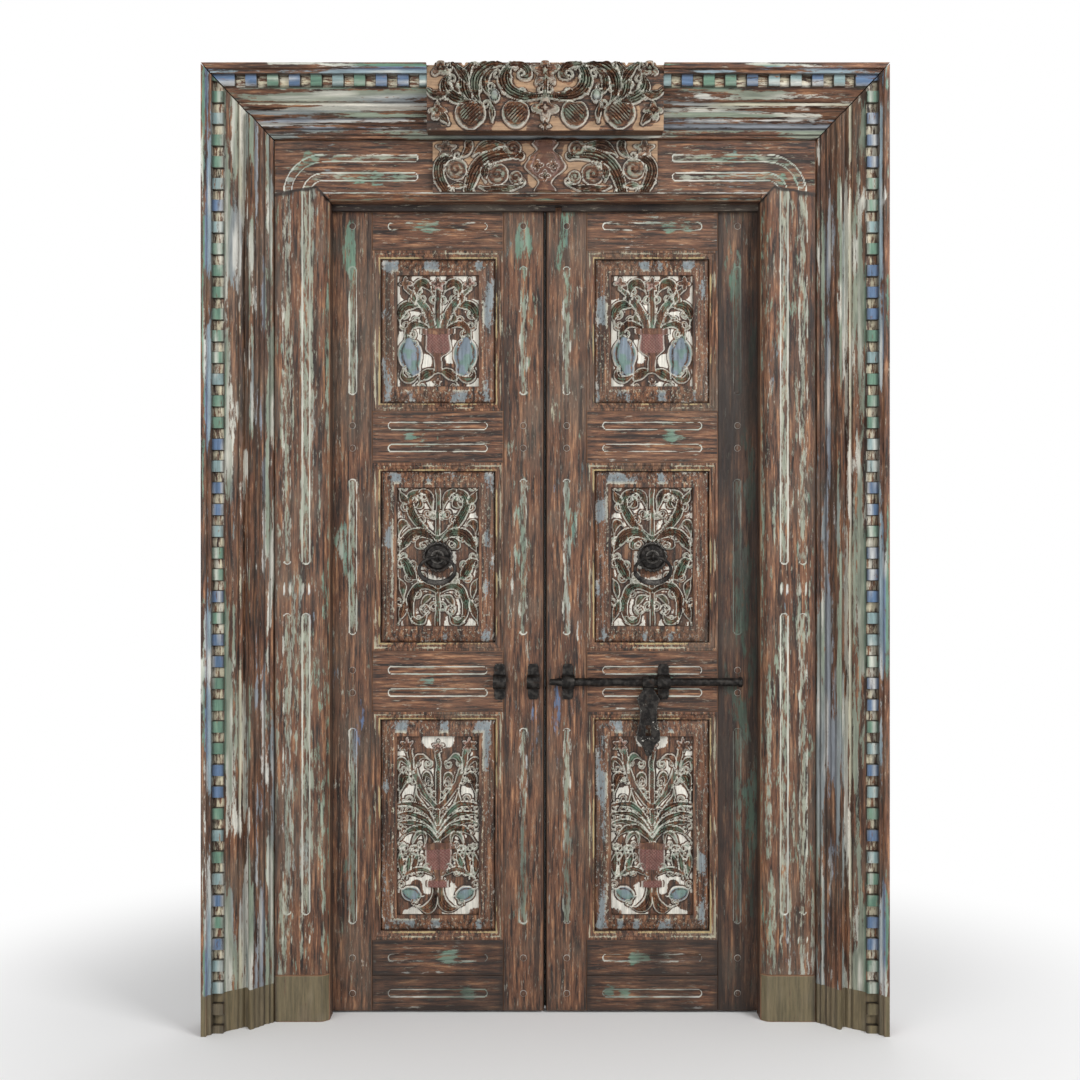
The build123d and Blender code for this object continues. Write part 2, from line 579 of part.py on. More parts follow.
def side_casing():
    """The right side casing above its spliced foot, mitred at its head."""
    above = [*mitre_line(-MITRE_GAP), (JAMB_OUTER_X - OVERRUN, CASING_TOP_Z + OVERRUN)]
    cut = front_prism(above, JAMB_BACK_Y, FRONT_Y - OVERRUN)
    foot = block(
        JAMB_OUTER_X - OVERRUN, CASING_OUTER_X + OVERRUN, FRONT_Y - OVERRUN, JAMB_BACK_Y, -OVERRUN, CASING_FOOT_HEIGHT
    )
    return side_casing_run() - [cut, foot]


def casing_foot():
    """The right side casing's spliced foot."""
    kept = block(
        JAMB_OUTER_X - OVERRUN, CASING_OUTER_X + OVERRUN, FRONT_Y - OVERRUN, JAMB_BACK_Y, -OVERRUN, CASING_FOOT_HEIGHT
    )
    return side_casing_run() & kept


def crest_back_y():
    """The face of the top casing's housing that the crest block sits on."""
    return FRONT_Y + CREST_RELIEF + CREST_BLOCK


def top_casing():
    """The top casing, mitred at both ends and housed in the middle for the crest."""
    across = Plane(origin=(0, 0, 0), x_dir=(0, 0, 1), z_dir=(1, 0, 0))
    section = [(LINTEL_TOP_Z + rise, proud - JAMB_FRONT_Y) for rise, proud in casing_outline()]
    run = extrude(across * outline(section), amount=CASING_OUTER_X, both=True)
    low, high, front, floor = dentil_band()
    gap = DENTIL_PITCH - DENTIL_HEIGHT
    cuts = []
    for start in dentil_starts(CASING_OUTER_X - CASING_WIDTH, CREST_WIDTH / 2 + DENTIL_START):
        recess = block(start, start + gap, front, floor, LINTEL_TOP_Z + low, LINTEL_TOP_Z + high)
        cuts += [recess, mirrored(recess)]
    below = [*mitre_line(0), (CASING_OUTER_X + OVERRUN, LINTEL_TOP_Z - OVERRUN)]
    wedge = front_prism(below, JAMB_BACK_Y, FRONT_Y - OVERRUN)
    housing = block(
        -CREST_WIDTH / 2, CREST_WIDTH / 2, FRONT_Y - OVERRUN, crest_back_y(), LINTEL_TOP_Z - OVERRUN,
        CASING_TOP_Z + OVERRUN,
    )
    return run - [*cuts, wedge, mirrored(wedge), housing]


def crest():
    """The carved block housed in the top casing, standing a little above it."""
    half = CREST_WIDTH / 2
    height = CASING_WIDTH + CREST_OVERHANG
    ground = crest_back_y() - CREST_BLOCK
    body = block(-half, half, ground, crest_back_y(), LINTEL_TOP_Z, LINTEL_TOP_Z + CASING_WIDTH)
    motifs = carving(half, height, CREST_STROKE_SHARES, CREST_FLOWER_SHARES, CREST_POT_SHARES)
    relief = extrude(facing(ground) * Pos(0, LINTEL_TOP_Z) * motifs, amount=CREST_RELIEF)
    return body + relief


def lintel_carving():
    """The carved block on the front of the lintel."""
    half = LINTEL_BLOCK_WIDTH / 2
    foot = SOFFIT_Z + JAMB_CHAMFER
    height = LINTEL_TOP_Z - LINTEL_BLOCK_MARGIN - foot
    ground = JAMB_FRONT_Y - LINTEL_BLOCK_THICKNESS
    body = block(-half, half, ground, JAMB_FRONT_Y, foot, foot + height)
    motifs = carving(half, height, LINTEL_STROKE_SHARES, LINTEL_FLOWER_SHARES, LINTEL_POT_SHARES)
    relief = extrude(facing(ground) * Pos(0, foot) * motifs, amount=LINTEL_RELIEF)
    return body + relief


def peg_places():
    """Where each peg of the right leaf is, as X and Z: beside the rails' ends, clear of the bolt's keepers."""
    places = []
    for name in RAILS:
        xs = (OUTER_FLUTE_X,) if name == "lock_rail" else (OUTER_FLUTE_X, MEETING_FLUTE_X)
        places += [(x, z) for x in xs for z in flute_levels(name)]
    return places


def flute_levels(name):
    """The height of each flute along a rail: its middle, or a pair either side of it."""
    foot, head = RAILS[name]
    middle = (foot + head) / 2
    if name in PAIRED_FLUTE_RAILS:
        return [middle - RAIL_FLUTE_SPREAD / 2, middle + RAIL_FLUTE_SPREAD / 2]
    return [middle]


def peg(x, z):
    """The head of one riven peg, standing on the front of a stile."""
    end = facing(LEAF_FRONT_Y) * Pos(x, z) * RegularPolygon(PEG_RADIUS, PEG_SIDES)
    return extrude(end, amount=PEG_PROUD)


def pegs():
    """All the right leaf's pegs, as separate solids."""
    return Compound(children=[peg(x, z) for x, z in peg_places()])


def stile(board, flute_x):
    """One stile of the right leaf, fluted beside each panel."""
    cuts = []
    for foot, head, *carved in PANELS.values():
        length = head - foot - 2 * FLUTE_INSET
        cuts.append(flute(flute_x, (foot + head) / 2, length, LEAF_FRONT_Y, True))
    return board - cuts


def outer_stile():
    """The right leaf's hinge stile, let in for its hinge plates."""
    board = block(PANEL_OUTER_X, LEAF_OUTER_X, LEAF_FRONT_Y, LEAF_BACK_Y, LEAF_BOTTOM_Z, LEAF_TOP_Z)
    recesses = [plate(LEAF_OUTER_X - HINGE_PLATE, LEAF_OUTER_X, z) for z in hinge_feet()]
    return stile(board, OUTER_FLUTE_X) - recesses


def meeting_stile():
    """The right leaf's stile at the middle of the door, its edge bevelled to open past the other leaf."""
    section = [
        (LEAF_INNER_X, LEAF_FRONT_Y), (PANEL_INNER_X, LEAF_FRONT_Y), (PANEL_INNER_X, LEAF_BACK_Y),
        (MEETING_BACK_GAP / 2, LEAF_BACK_Y),
    ]
    board = extrude(Pos(0, 0, LEAF_BOTTOM_Z) * outline(section), amount=LEAF_TOP_Z - LEAF_BOTTOM_Z)
    return stile(board, MEETING_FLUTE_X)


def rail(name):
    """One rail of the right leaf between its stiles, fluted along its face."""
    foot, head = RAILS[name]
    board = block(PANEL_INNER_X, PANEL_OUTER_X, LEAF_FRONT_Y, LEAF_BACK_Y, foot, head)
    levels = flute_levels(name)
    return board - [flute(PANEL_MIDDLE_X, z, RAIL_FLUTE_LENGTH, LEAF_FRONT_Y, False) for z in levels]


def bevelled(width, low, high):
    """One way of a panel's raised part, as a width and a depth: upright to its bevel, then in to its border."""
    edge = width / 2 - MOULDING_WIDTH
    top = edge - BEVEL_WIDTH
    return [(-edge, low), (edge, low), (edge, BEVEL_FOOT_DEPTH), (top, high), (-top, high), (-edge, BEVEL_FOOT_DEPTH)]


def panel(foot, head, strokes, flowers, pot_shares):
    """One raised panel: its flat, a bevel up to a border, and the carving in the sunk field inside that."""
    height = head - foot
    middle_z = (foot + head) / 2
    margin = MOULDING_WIDTH + BEVEL_WIDTH + BORDER_WIDTH
    flat = PANEL_BACK_DEPTH - PANEL_THICKNESS
    base = block(
        PANEL_INNER_X, PANEL_OUTER_X, LEAF_FRONT_Y + flat, LEAF_FRONT_Y + PANEL_BACK_DEPTH, foot, head
    )
    plan = [(PANEL_MIDDLE_X + x, LEAF_FRONT_Y + y) for x, y in bevelled(PANEL_WIDTH, flat, BORDER_DEPTH)]
    rise = [(LEAF_FRONT_Y + y, middle_z + z) for z, y in bevelled(height, flat, BORDER_DEPTH)]
    raised = extrude(Pos(0, 0, foot) * outline(plan), amount=height) & side_prism(rise, PANEL_INNER_X, PANEL_OUTER_X)
    body = base + raised
    half = PANEL_WIDTH / 2 - margin
    field_height = height - 2 * margin
    floor = facing(LEAF_FRONT_Y + FIELD_DEPTH)
    pocket = block(
        PANEL_MIDDLE_X - half, PANEL_MIDDLE_X + half, LEAF_FRONT_Y - OVERRUN, LEAF_FRONT_Y + FIELD_DEPTH,
        foot + margin, head - margin,
    )
    motifs = carving(half, field_height, strokes, flowers, pot_shares)
    placed = floor * Pos(PANEL_MIDDLE_X, foot + margin) * motifs
    return body - pocket + extrude(placed, amount=FIELD_DEPTH - BORDER_DEPTH)


def middle_panel():
    """The middle panel, bored for the eye bolt of its ring pull."""
    return panel(*PANELS["middle"]) - shank()


def moulding(foot, head):
    """The four mitred strips that hold a panel's edge, as separate solids."""
    depth = PANEL_BACK_DEPTH - PANEL_THICKNESS - MOULDING_DEPTH
    section = [(across * MOULDING_WIDTH, MOULDING_DEPTH + down * depth) for across, down in MOULDING_SHARES]
    middle_z = (foot + head) / 2
    strips = []
    for width, height, turn in ((PANEL_WIDTH, head - foot, 0), (head - foot, PANEL_WIDTH, 90)):
        strip = side_prism([(LEAF_FRONT_Y + y, height / 2 - z) for z, y in section], -width / 2, width / 2)
        inner = width / 2 - height / 2
        ends = [(-width / 2, height / 2), (width / 2, height / 2), (inner, 0), (-inner, 0)]
        if inner < 0:
            ends = [(-width / 2, height / 2), (width / 2, height / 2), (0, (height - width) / 2)]
        strip &= front_prism(ends, LEAF_BACK_Y, LEAF_FRONT_Y - OVERRUN)
        for half_turn in (turn, turn + 180):
            strips.append(Pos(PANEL_MIDDLE_X, 0, middle_z) * Rot(0, half_turn, 0) * strip)
    return Compound(children=strips)


def rosette():
    """The right ring pull's plate: a toothed rim with two steps up to its boss."""
    rim = []
    for step in range(2 * ROSETTE_TEETH):
        turn = math.pi * step / ROSETTE_TEETH
        reach = ROSETTE_RADIUS - ROSETTE_NOTCH * (step % 2)
        rim.append((reach * math.cos(turn), reach * math.sin(turn)))
    place = Pos(PANEL_MIDDLE_X, PULL_Z)
    tiers = [outline(rim)]
    tiers += [RegularPolygon(radius, BAR_SIDES) for radius in (ROSETTE_TIER_RADIUS, ROSETTE_BOSS_RADIUS)]
    steps = [
        extrude(facing(ROSETTE_BACK_Y) * place * tier, amount=ROSETTE_STEP * (index + 1))
        for index, tier in enumerate(tiers)
    ]
    return steps[0] + steps[1:] - shank()


def shank():
    """The eye bolt's shank, through rosette and panel."""
    length = LEAF_BACK_Y - EYE_Y - EYE_HOLE_RADIUS
    end = facing(LEAF_BACK_Y) * Pos(PANEL_MIDDLE_X, PULL_Z) * RegularPolygon(SHANK_RADIUS, PEG_SIDES)
    return extrude(end, amount=length)


def eye_bolt():
    """The right eye bolt: a flat eye across X at the end of its shank."""
    across = Plane(origin=(PANEL_MIDDLE_X, EYE_Y, PULL_Z), x_dir=(0, 1, 0), z_dir=(1, 0, 0))
    hole = RegularPolygon(EYE_HOLE_RADIUS, EYE_SIDES)
    eye = extrude(across * RegularPolygon(EYE_RADIUS, EYE_SIDES), amount=EYE_THICKNESS / 2, both=True)
    bore = extrude(across * hole, amount=EYE_THICKNESS, both=True)
    return eye + shank() - bore


def oval(half_width, half_height, x, z):
    """An oval outline in straight forged flats."""
    turns = [2 * math.pi * index / PULL_SIDES for index in range(PULL_SIDES)]
    return outline([(x + half_width * math.sin(t), z + half_height * math.cos(t)) for t in turns])


def pull_ring():
    """The right pull ring, hanging in its eye and thickest at its foot."""
    middle = PULL_Z + PULL_TOP / 2 - PULL_HALF_HEIGHT
    inner_half = PULL_HALF_HEIGHT - (PULL_TOP + PULL_BOTTOM) / 2
    inner_z = middle + (PULL_BOTTOM - PULL_TOP) / 2
    hoop = oval(PULL_HALF_WIDTH, PULL_HALF_HEIGHT, PANEL_MIDDLE_X, middle)
    hoop -= oval(PULL_HALF_WIDTH - PULL_SIDE, inner_half, PANEL_MIDDLE_X, inner_z)
    return extrude(facing(EYE_Y) * hoop, amount=PULL_THICKNESS / 2, both=True)


def keeper(x):
    """One bolt keeper: a strap bent over the bolt, waisted between the bend and its flared feet."""
    inner = BOLT_RADIUS + KEEPER_FIT
    outer = inner + KEEPER_THICKNESS
    foot = LEAF_FRONT_Y - KEEPER_THICKNESS
    swell = 1 / math.cos(math.pi / 2 / ARCH_STEPS)
    over = round_end(BOLT_Y, BOLT_Z, outer * swell, 90, ARCH_STEPS)
    under = round_end(BOLT_Y, BOLT_Z, inner * swell, 90, ARCH_STEPS)
    top, bottom = BOLT_Z + KEEPER_HALF_HEIGHT, BOLT_Z - KEEPER_HALF_HEIGHT
    section = [(LEAF_FRONT_Y, top), (foot, top), (foot, over[0][1]), *over, (foot, over[-1][1]), (foot, bottom)]
    section += [(LEAF_FRONT_Y, bottom), (LEAF_FRONT_Y, under[-1][1]), *reversed(under), (LEAF_FRONT_Y, under[0][1])]
    strap = side_prism(section, x - KEEPER_WIDTH / 2, x + KEEPER_WIDTH / 2)
    wide, waist = KEEPER_WIDTH / 2, KEEPER_WAIST / 2
    side = [(wide, KEEPER_HALF_HEIGHT), (waist, KEEPER_WAIST_RISE), (wide, outer)]
    side += [(across_x, -rise) for across_x, rise in reversed(side)]
    rim = [(x + across_x, BOLT_Z + rise) for across_x, rise in side]
    rim += [(x - across_x, BOLT_Z + rise) for across_x, rise in reversed(side)]
    return strap & front_prism(rim, LEAF_FRONT_Y, FRONT_Y)


def keepers(places):
    """The keepers of one leaf, as separate solids."""
    return Compound(children=[keeper(x) for x in places])


def slide_bolt():
    """The bolt, drawn back into the right leaf: a hammered round bar with a reduced tip and an upset head."""
    lengths = (
        (BOLT_TIP_RADIUS, BOLT_TIP_X, BOLT_TIP_X + BOLT_TIP_LENGTH),
        (BOLT_RADIUS, BOLT_TIP_X + BOLT_TIP_LENGTH, BOLT_END_X - BOLT_HEAD_LENGTH),
        (BOLT_HEAD_RADIUS, BOLT_END_X - BOLT_HEAD_LENGTH, BOLT_END_X),
    )
    bars = []
    for radius, start, end in lengths:
        across = Plane(origin=(start, BOLT_Y, BOLT_Z), x_dir=(0, 1, 0), z_dir=(1, 0, 0))
        bars.append(extrude(across * RegularPolygon(radius, BAR_SIDES), amount=end - start))
    return bars[0] + bars[1:]


def hasp():
    """The hasp: an eye round the bolt and the slotted plate that hangs from it."""
    side = [(half * HASP_HALF_WIDTH, -down * HASP_LENGTH) for half, down in HASP_SHARES]
    rim = [(HASP_X + x, BOLT_Z + z) for x, z in side]
    rim += [(HASP_X - x, BOLT_Z + z) for x, z in reversed(side)]
    hanger = front_prism(rim, BOLT_Y + HASP_THICKNESS / 2, BOLT_Y - HASP_THICKNESS / 2)
    along = Plane(origin=(HASP_X, BOLT_Y, BOLT_Z), x_dir=(0, 1, 0), z_dir=(1, 0, 0))
    inner = (BOLT_RADIUS + HASP_FIT) / math.cos(math.pi / BAR_SIDES)
    ring = RegularPolygon(inner + HASP_EYE_WALL, BAR_SIDES)
    eye = extrude(along * ring, amount=HASP_EYE_WIDTH / 2, both=True)
    bore = extrude(along * RegularPolygon(inner, BAR_SIDES), amount=HASP_EYE_WIDTH, both=True)
    slot_middle = facing(BOLT_Y) * Pos(HASP_X, BOLT_Z - HASP_SLOT_DROP)
    slot = extrude(slot_middle * Rectangle(HASP_SLOT_WIDTH, HASP_SLOT_LENGTH), amount=OVERRUN, both=True)
    return hanger + eye - [bore, slot]


def hinge_feet():
    """The foot of each hinge on a leaf."""
    height = LEAF_TOP_Z - LEAF_BOTTOM_Z
    return [LEAF_BOTTOM_Z + share * height - HINGE_HEIGHT / 2 for share in HINGE_HEIGHT_SHARES]


def plate(x0, x1, foot):
    """A hinge plate let into the wood, flush with the back."""
    return block(x0, x1, JAMB_BACK_Y - HINGE_PLATE_WIDTH, JAMB_BACK_Y, foot, foot + HINGE_HEIGHT)


def knuckle(x0, x1, foot, length):
    """One hammered knuckle on the pin's line, with the tab that joins it to its plate."""
    barrel = spindle(KNUCKLE_RADIUS, foot, length)
    return barrel + block(x0, x1, JAMB_BACK_Y, HINGE_Y, foot, foot + length)


def spindle(radius, foot, length):
    """A bar with hammered flats on the pin's line, one corner straight back from the wood."""
    end = RegularPolygon(radius, PEG_SIDES, rotation=90)
    return extrude(Pos(HINGE_X, HINGE_Y, foot) * end, amount=length)


def frame_hinges():
    """The right jamb's half hinges: a plate, a knuckle and the pin that stands on it."""
    length = HINGE_HEIGHT / 2
    halves = []
    for foot in hinge_feet():
        half = plate(REBATE_X, REBATE_X + HINGE_PLATE, foot)
        half += knuckle(REBATE_X, REBATE_X + HINGE_PLATE, foot, length)
        halves.append(half + spindle(PIN_RADIUS, foot + length, length))
    return Compound(children=halves)


def leaf_hinges():
    """The right leaf's half hinges: a plate, and a bored knuckle that turns on the pin."""
    length = HINGE_HEIGHT / 2
    bore_radius = (PIN_RADIUS + PIN_FIT) / math.cos(math.pi / PEG_SIDES)
    halves = []
    for foot in hinge_feet():
        start = foot + length + KNUCKLE_CLEARANCE
        half = plate(LEAF_OUTER_X - HINGE_PLATE, LEAF_OUTER_X, foot)
        half += knuckle(LEAF_OUTER_X - HINGE_PLATE, LEAF_OUTER_X, start, length - KNUCKLE_CLEARANCE)
        halves.append(half - spindle(bore_radius, foot, HINGE_HEIGHT + OVERRUN))
    return Compound(children=halves)


def frame_pieces():
    """Every piece of the frame that isn't one of a pair."""
    return {
        "lintel": lintel(),
        "head_stop": head_stop(),
        "top_casing": top_casing(),
        "crest_carving": crest(),
        "lintel_carving": lintel_carving(),
    }


def paired_pieces():
    """The right hand of every piece that the door has on both sides."""
    pieces = {
        "jamb": jamb(),
        "jamb_foot": jamb_foot(),
        "casing": side_casing(),
        "casing_foot": casing_foot(),
        "outer_stile": outer_stile(),
        "meeting_stile": meeting_stile(),
        "pegs": pegs(),
        "ring_rosette": rosette(),
        "ring_eye_bolt": eye_bolt(),
        "pull_ring": pull_ring(),
        "frame_hinges": frame_hinges(),
        "leaf_hinges": leaf_hinges(),
    }
    for name in RAILS:
        pieces[name] = rail(name)
    for name, row in PANELS.items():
        pieces[name + "_panel"] = middle_panel() if name == "middle" else panel(*row)
        pieces[name + "_moulding"] = moulding(row[0], row[1])
    return pieces


def bolt_pieces():
    """The slide bolt, its hasp and the keepers of both leaves."""
    return {
        "slide_bolt": slide_bolt(),
        "hasp": hasp(),
        "left_keepers": keepers(LEFT_KEEPER_XS),
        "right_keepers": keepers((MEETING_KEEPER_X, END_KEEPER_X)),
    }


os.makedirs("parts", exist_ok=True)
nodes = frame_pieces() | bolt_pieces()
for name, piece in paired_pieces().items():
    nodes["right_" + name] = piece
    nodes["left_" + name] = mirrored(piece)
for name, piece in nodes.items():
    export_step(piece, "parts/" + name + ".step")
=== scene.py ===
import logging
import math
from dataclasses import dataclass, replace
from enum import Enum
from typing import Any, Optional, Sequence

import bpy
import numpy as np
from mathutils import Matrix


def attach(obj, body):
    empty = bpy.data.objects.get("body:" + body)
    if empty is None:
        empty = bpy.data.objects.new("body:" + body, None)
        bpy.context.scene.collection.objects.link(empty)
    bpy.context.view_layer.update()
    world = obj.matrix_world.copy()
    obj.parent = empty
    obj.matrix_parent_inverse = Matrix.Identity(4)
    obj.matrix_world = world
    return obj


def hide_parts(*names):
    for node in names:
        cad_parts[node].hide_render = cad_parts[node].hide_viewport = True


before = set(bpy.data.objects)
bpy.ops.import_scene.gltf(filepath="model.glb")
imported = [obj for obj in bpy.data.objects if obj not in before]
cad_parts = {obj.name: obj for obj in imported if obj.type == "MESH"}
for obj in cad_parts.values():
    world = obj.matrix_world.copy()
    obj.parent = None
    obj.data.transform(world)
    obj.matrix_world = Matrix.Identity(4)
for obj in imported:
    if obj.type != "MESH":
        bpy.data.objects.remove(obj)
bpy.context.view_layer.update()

LOG = logging.getLogger("door")
logging.basicConfig(level=logging.INFO, format="%(name)s: %(message)s")

Array = np.ndarray

# Sizes in millimetres, the same as the solids'.
OPENING_X = 509.0
JAMB_OUTER_X = 637.0
CASING_OUTER_X = 787.0
SOFFIT_Z = 1936.0
LINTEL_TOP_Z = 2076.0
CASING_TOP_Z = 2226.0
CREST_TOP_Z = 2232.0
FRONT_Y = -117.25
JAMB_FRONT_Y = -12.25
JAMB_BACK_Y = 102.75
LEAF_FRONT_Y = 57.75
LEAF_BACK_Y = 102.75
STOP_Y = 57.25
PANEL_X = (100.0, 415.0)
BOLT_Y = 42.35
BOLT_Z = 795.5
PULL_X = 257.5
PULL_Z = 1094.5
EYE_Y = 34.65
ROSETTE_BACK_Y = 60.75
CREST_HALF = 272.0
CREST_DEPTH = 65.0
FLUTE_DEPTH = 3.0
JAMB_FLUTES_X = (563.0, 607.0)
SHOULDER_X = (OPENING_X, OPENING_X + 30.0, JAMB_OUTER_X)
SHOULDER_Z = (SOFFIT_Z, SOFFIT_Z + 30.0, SOFFIT_Z + 13.0)

# Also in millimetres: half the distance between a rail's paired flutes, how far in from its panel's opening a
# carved field begins, how closely the carved blocks are gridded, and the least gap that is drawn.
RAIL_PAIR = 27.0
FIELD_EDGE = 60.0
CARVING_STEP = 1.8
HAIR = 0.05

# Edges bent by more than this many degrees stay crisp, on plain and on carved pieces.
SHARP = 40.0
CARVED_SHARP = 60.0

WHITE_LIGHT = (1.0, 1.0, 1.0, 1.0)


class Coat(Enum):
    """Coats of paint left on the wood, as sRGB hex."""

    GREEN = "#648a76"
    DEEP_GREEN = "#34483c"
    OLIVE = "#5f6048"
    SAGE = "#667a66"
    BLUE = "#4f68a0"
    PALE_BLUE = "#93a8b0"
    CREAM = "#d8cfb2"
    WHITE = "#e4e1d6"
    ASH = "#a3a594"
    OCHRE = "#bda063"
    CRIMSON = "#7a3034"
    PINK = "#a5857a"
    SLATE = "#7b8a96"
    BROWN = "#5b3829"
    BARE = "#6d6044"
    TAN = "#a98a6c"


class Grain(Enum):
    """Which way a board's grain runs."""

    UPRIGHT = (1.0, 1.0, 1 / 14)
    LEVEL = (1 / 14, 1.0, 1.0)


class Motif(Enum):
    """What a carved form stands for, with the coat on it and how deep its veins are cut."""

    STEM = (Coat.SAGE, 0.4)
    LEAF = (Coat.OLIVE, 0.6)
    PLUME = (Coat.SAGE, 0.75)
    TEAR = (Coat.SLATE, 0.55)
    BLOOM = (Coat.PINK, 0.0)
    FRUIT = (Coat.BROWN, 0.3)
    POT = (Coat.BROWN, 0.0)


def linear(code: str) -> tuple[float, float, float]:
    """Turn an sRGB hex colour into linear red, green and blue.

    Args:
        code: the colour as #rrggbb.

    Returns:
        Its linear parts from 0 to 1.
    """
    parts = (int(code[i:i + 2], 16) / 255 for i in (1, 3, 5))
    return tuple(c / 12.92 if c <= 0.04045 else ((c + 0.055) / 1.055) ** 2.4 for c in parts)


def smooth(value: Array, low: float, high: float) -> Array:
    """Rise from 0 at low to 1 at high on the curve 3t squared less 2t cubed."""
    t = np.clip((value - low) / (high - low), 0.0, 1.0)
    return t * t * (3 - 2 * t)


def ridge(value: Array, middle: float, width: float) -> Array:
    """Fall from 1 at the middle on a bell curve, to about a third at the width."""
    return np.exp(-((value - middle) / width) ** 2)


def circle(steps: int) -> Array:
    """Even angles once round."""
    return 2 * np.pi * np.arange(steps) / steps


def woven(rows: int, columns: int, closed: tuple[bool, bool] = (False, False), turned: bool = False) -> Array:
    """Four-cornered faces between the neighbours of a grid of points.

    Args:
        rows, columns: the grid's size; its points are counted along one row after another.
        closed: whether the last row joins the first, and whether the last column does.
        turned: whether the faces look the other way.

    Returns:
        Each face's corners: a point, the next in its row, and those two in the next row backwards.
    """
    index = np.arange(rows * columns).reshape(rows, columns)
    index = np.pad(index, ((0, int(closed[0])), (0, int(closed[1]))), mode="wrap")
    faces = np.stack((index[:-1, :-1], index[:-1, 1:], index[1:, 1:], index[1:, :-1]), axis=-1).reshape(-1, 4)
    return faces[:, [0, 3, 2, 1]] if turned else faces


def lattice(i: Array, j: Array, seed: float) -> Array:
    """Give each whole lattice point a repeatable value from 0 to 1: the fraction of a large sine."""
    h = np.sin(i * 127.1 + j * 311.7 + seed * 74.7) * 43758.5453
    return h - np.floor(h)


def mottle(x: Array, z: Array, size_x: float, size_z: float, seed: float) -> Array:
    """Soft noise: lattice values blended on a smooth curve between lattice points.

    Args:
        x, z: places in millimetres.
        size_x, size_z: the lattice's spacing each way in millimetres.
        seed: which pattern.

    Returns:
        Values from 0 to 1.
    """
    u, v = np.asarray(x) / size_x, np.asarray(z) / size_z
    i, j = np.floor(u), np.floor(v)
    a, b = smooth(u - i, 0, 1), smooth(v - j, 0, 1)
    low = lattice(i, j, seed) * (1 - a) + lattice(i + 1, j, seed) * a
    high = lattice(i, j + 1, seed) * (1 - a) + lattice(i + 1, j + 1, seed) * a
    return low * (1 - b) + high * b


def grid_lines(start: float, end: float, coarse: float, marks: Sequence[float],
               reach: float, fine: float) -> Array:
    """Lines across a board: evenly spaced, and closer together round each mark and at both edges.

    Args:
        start, end: the board's edges.
        coarse: spacing away from the marks.
        marks: where detail lies.
        reach: how far the close spacing runs to each side of a mark.
        fine: the close spacing.

    Returns:
        Sorted line places, none nearer than a third of a millimetre.
    """
    runs = [np.linspace(start, end, max(int((end - start) / coarse), 1) + 1)]
    runs += [np.arange(m - reach, m + reach + fine / 2, fine) for m in marks]
    margin = np.array((0, 0.5, 1.3, 2.4, 4.0))
    runs += [start + margin, end - margin]
    lines = np.unique(np.round(np.concatenate(runs), 2))
    lines = lines[(lines >= start) & (lines <= end)]
    keep = np.concatenate(([True], np.diff(lines) > 0.33))
    keep[-1] = True
    return lines[keep]


@dataclass
class Surface:
    """One surface of a piece: points, four-cornered and many-cornered faces, and what is on the points."""

    points: Array
    quads: Array
    rings: list[Array]
    coat: Array
    wear: Array
    grime_and_shade: Array

    @staticmethod
    def bare(points: Array, quads: Array, rings: Optional[list[Array]] = None) -> "Surface":
        """A surface with no paint on it."""
        count = len(points)
        return Surface(points, quads, rings or [], np.zeros((count, 4)), np.zeros(count), np.zeros(count))

    @staticmethod
    def joined(parts: Sequence["Surface"]) -> "Surface":
        """Several surfaces as one, their faces counted on from each other."""
        starts = np.cumsum([0] + [len(p.points) for p in parts])
        rings = [ring + start for p, start in zip(parts, starts) for ring in p.rings]
        quads = np.concatenate([p.quads + start for p, start in zip(parts, starts)])
        points, *paint = (
            np.concatenate([getattr(p, name) for p in parts]) for name in ("points", "coat", "wear", "grime_and_shade")
        )
        return Surface(points, quads, rings, *paint)

    def fleck(self, strength: float, sizes: tuple[float, float], seed: float) -> None:
        """Leave flecks of white paint all over, as strong and as large as given."""
        cover = strength * mottle(self.points[:, 0], self.points[:, 2], *sizes, seed)
        self.coat[:, :3] = linear(Coat.WHITE.value)
        self.coat[:, 3] = cover

    def flipped(self) -> "Surface":
        """The same surface, its faces looking the other way."""
        return replace(self, quads=self.quads[:, ::-1], rings=[ring[::-1] for ring in self.rings])

    def mirrored(self) -> "Surface":
        """The other hand of this surface: X turned round and every face's corners reversed."""
        return replace(self.flipped(), points=self.points * np.array((-1.0, 1.0, 1.0)))


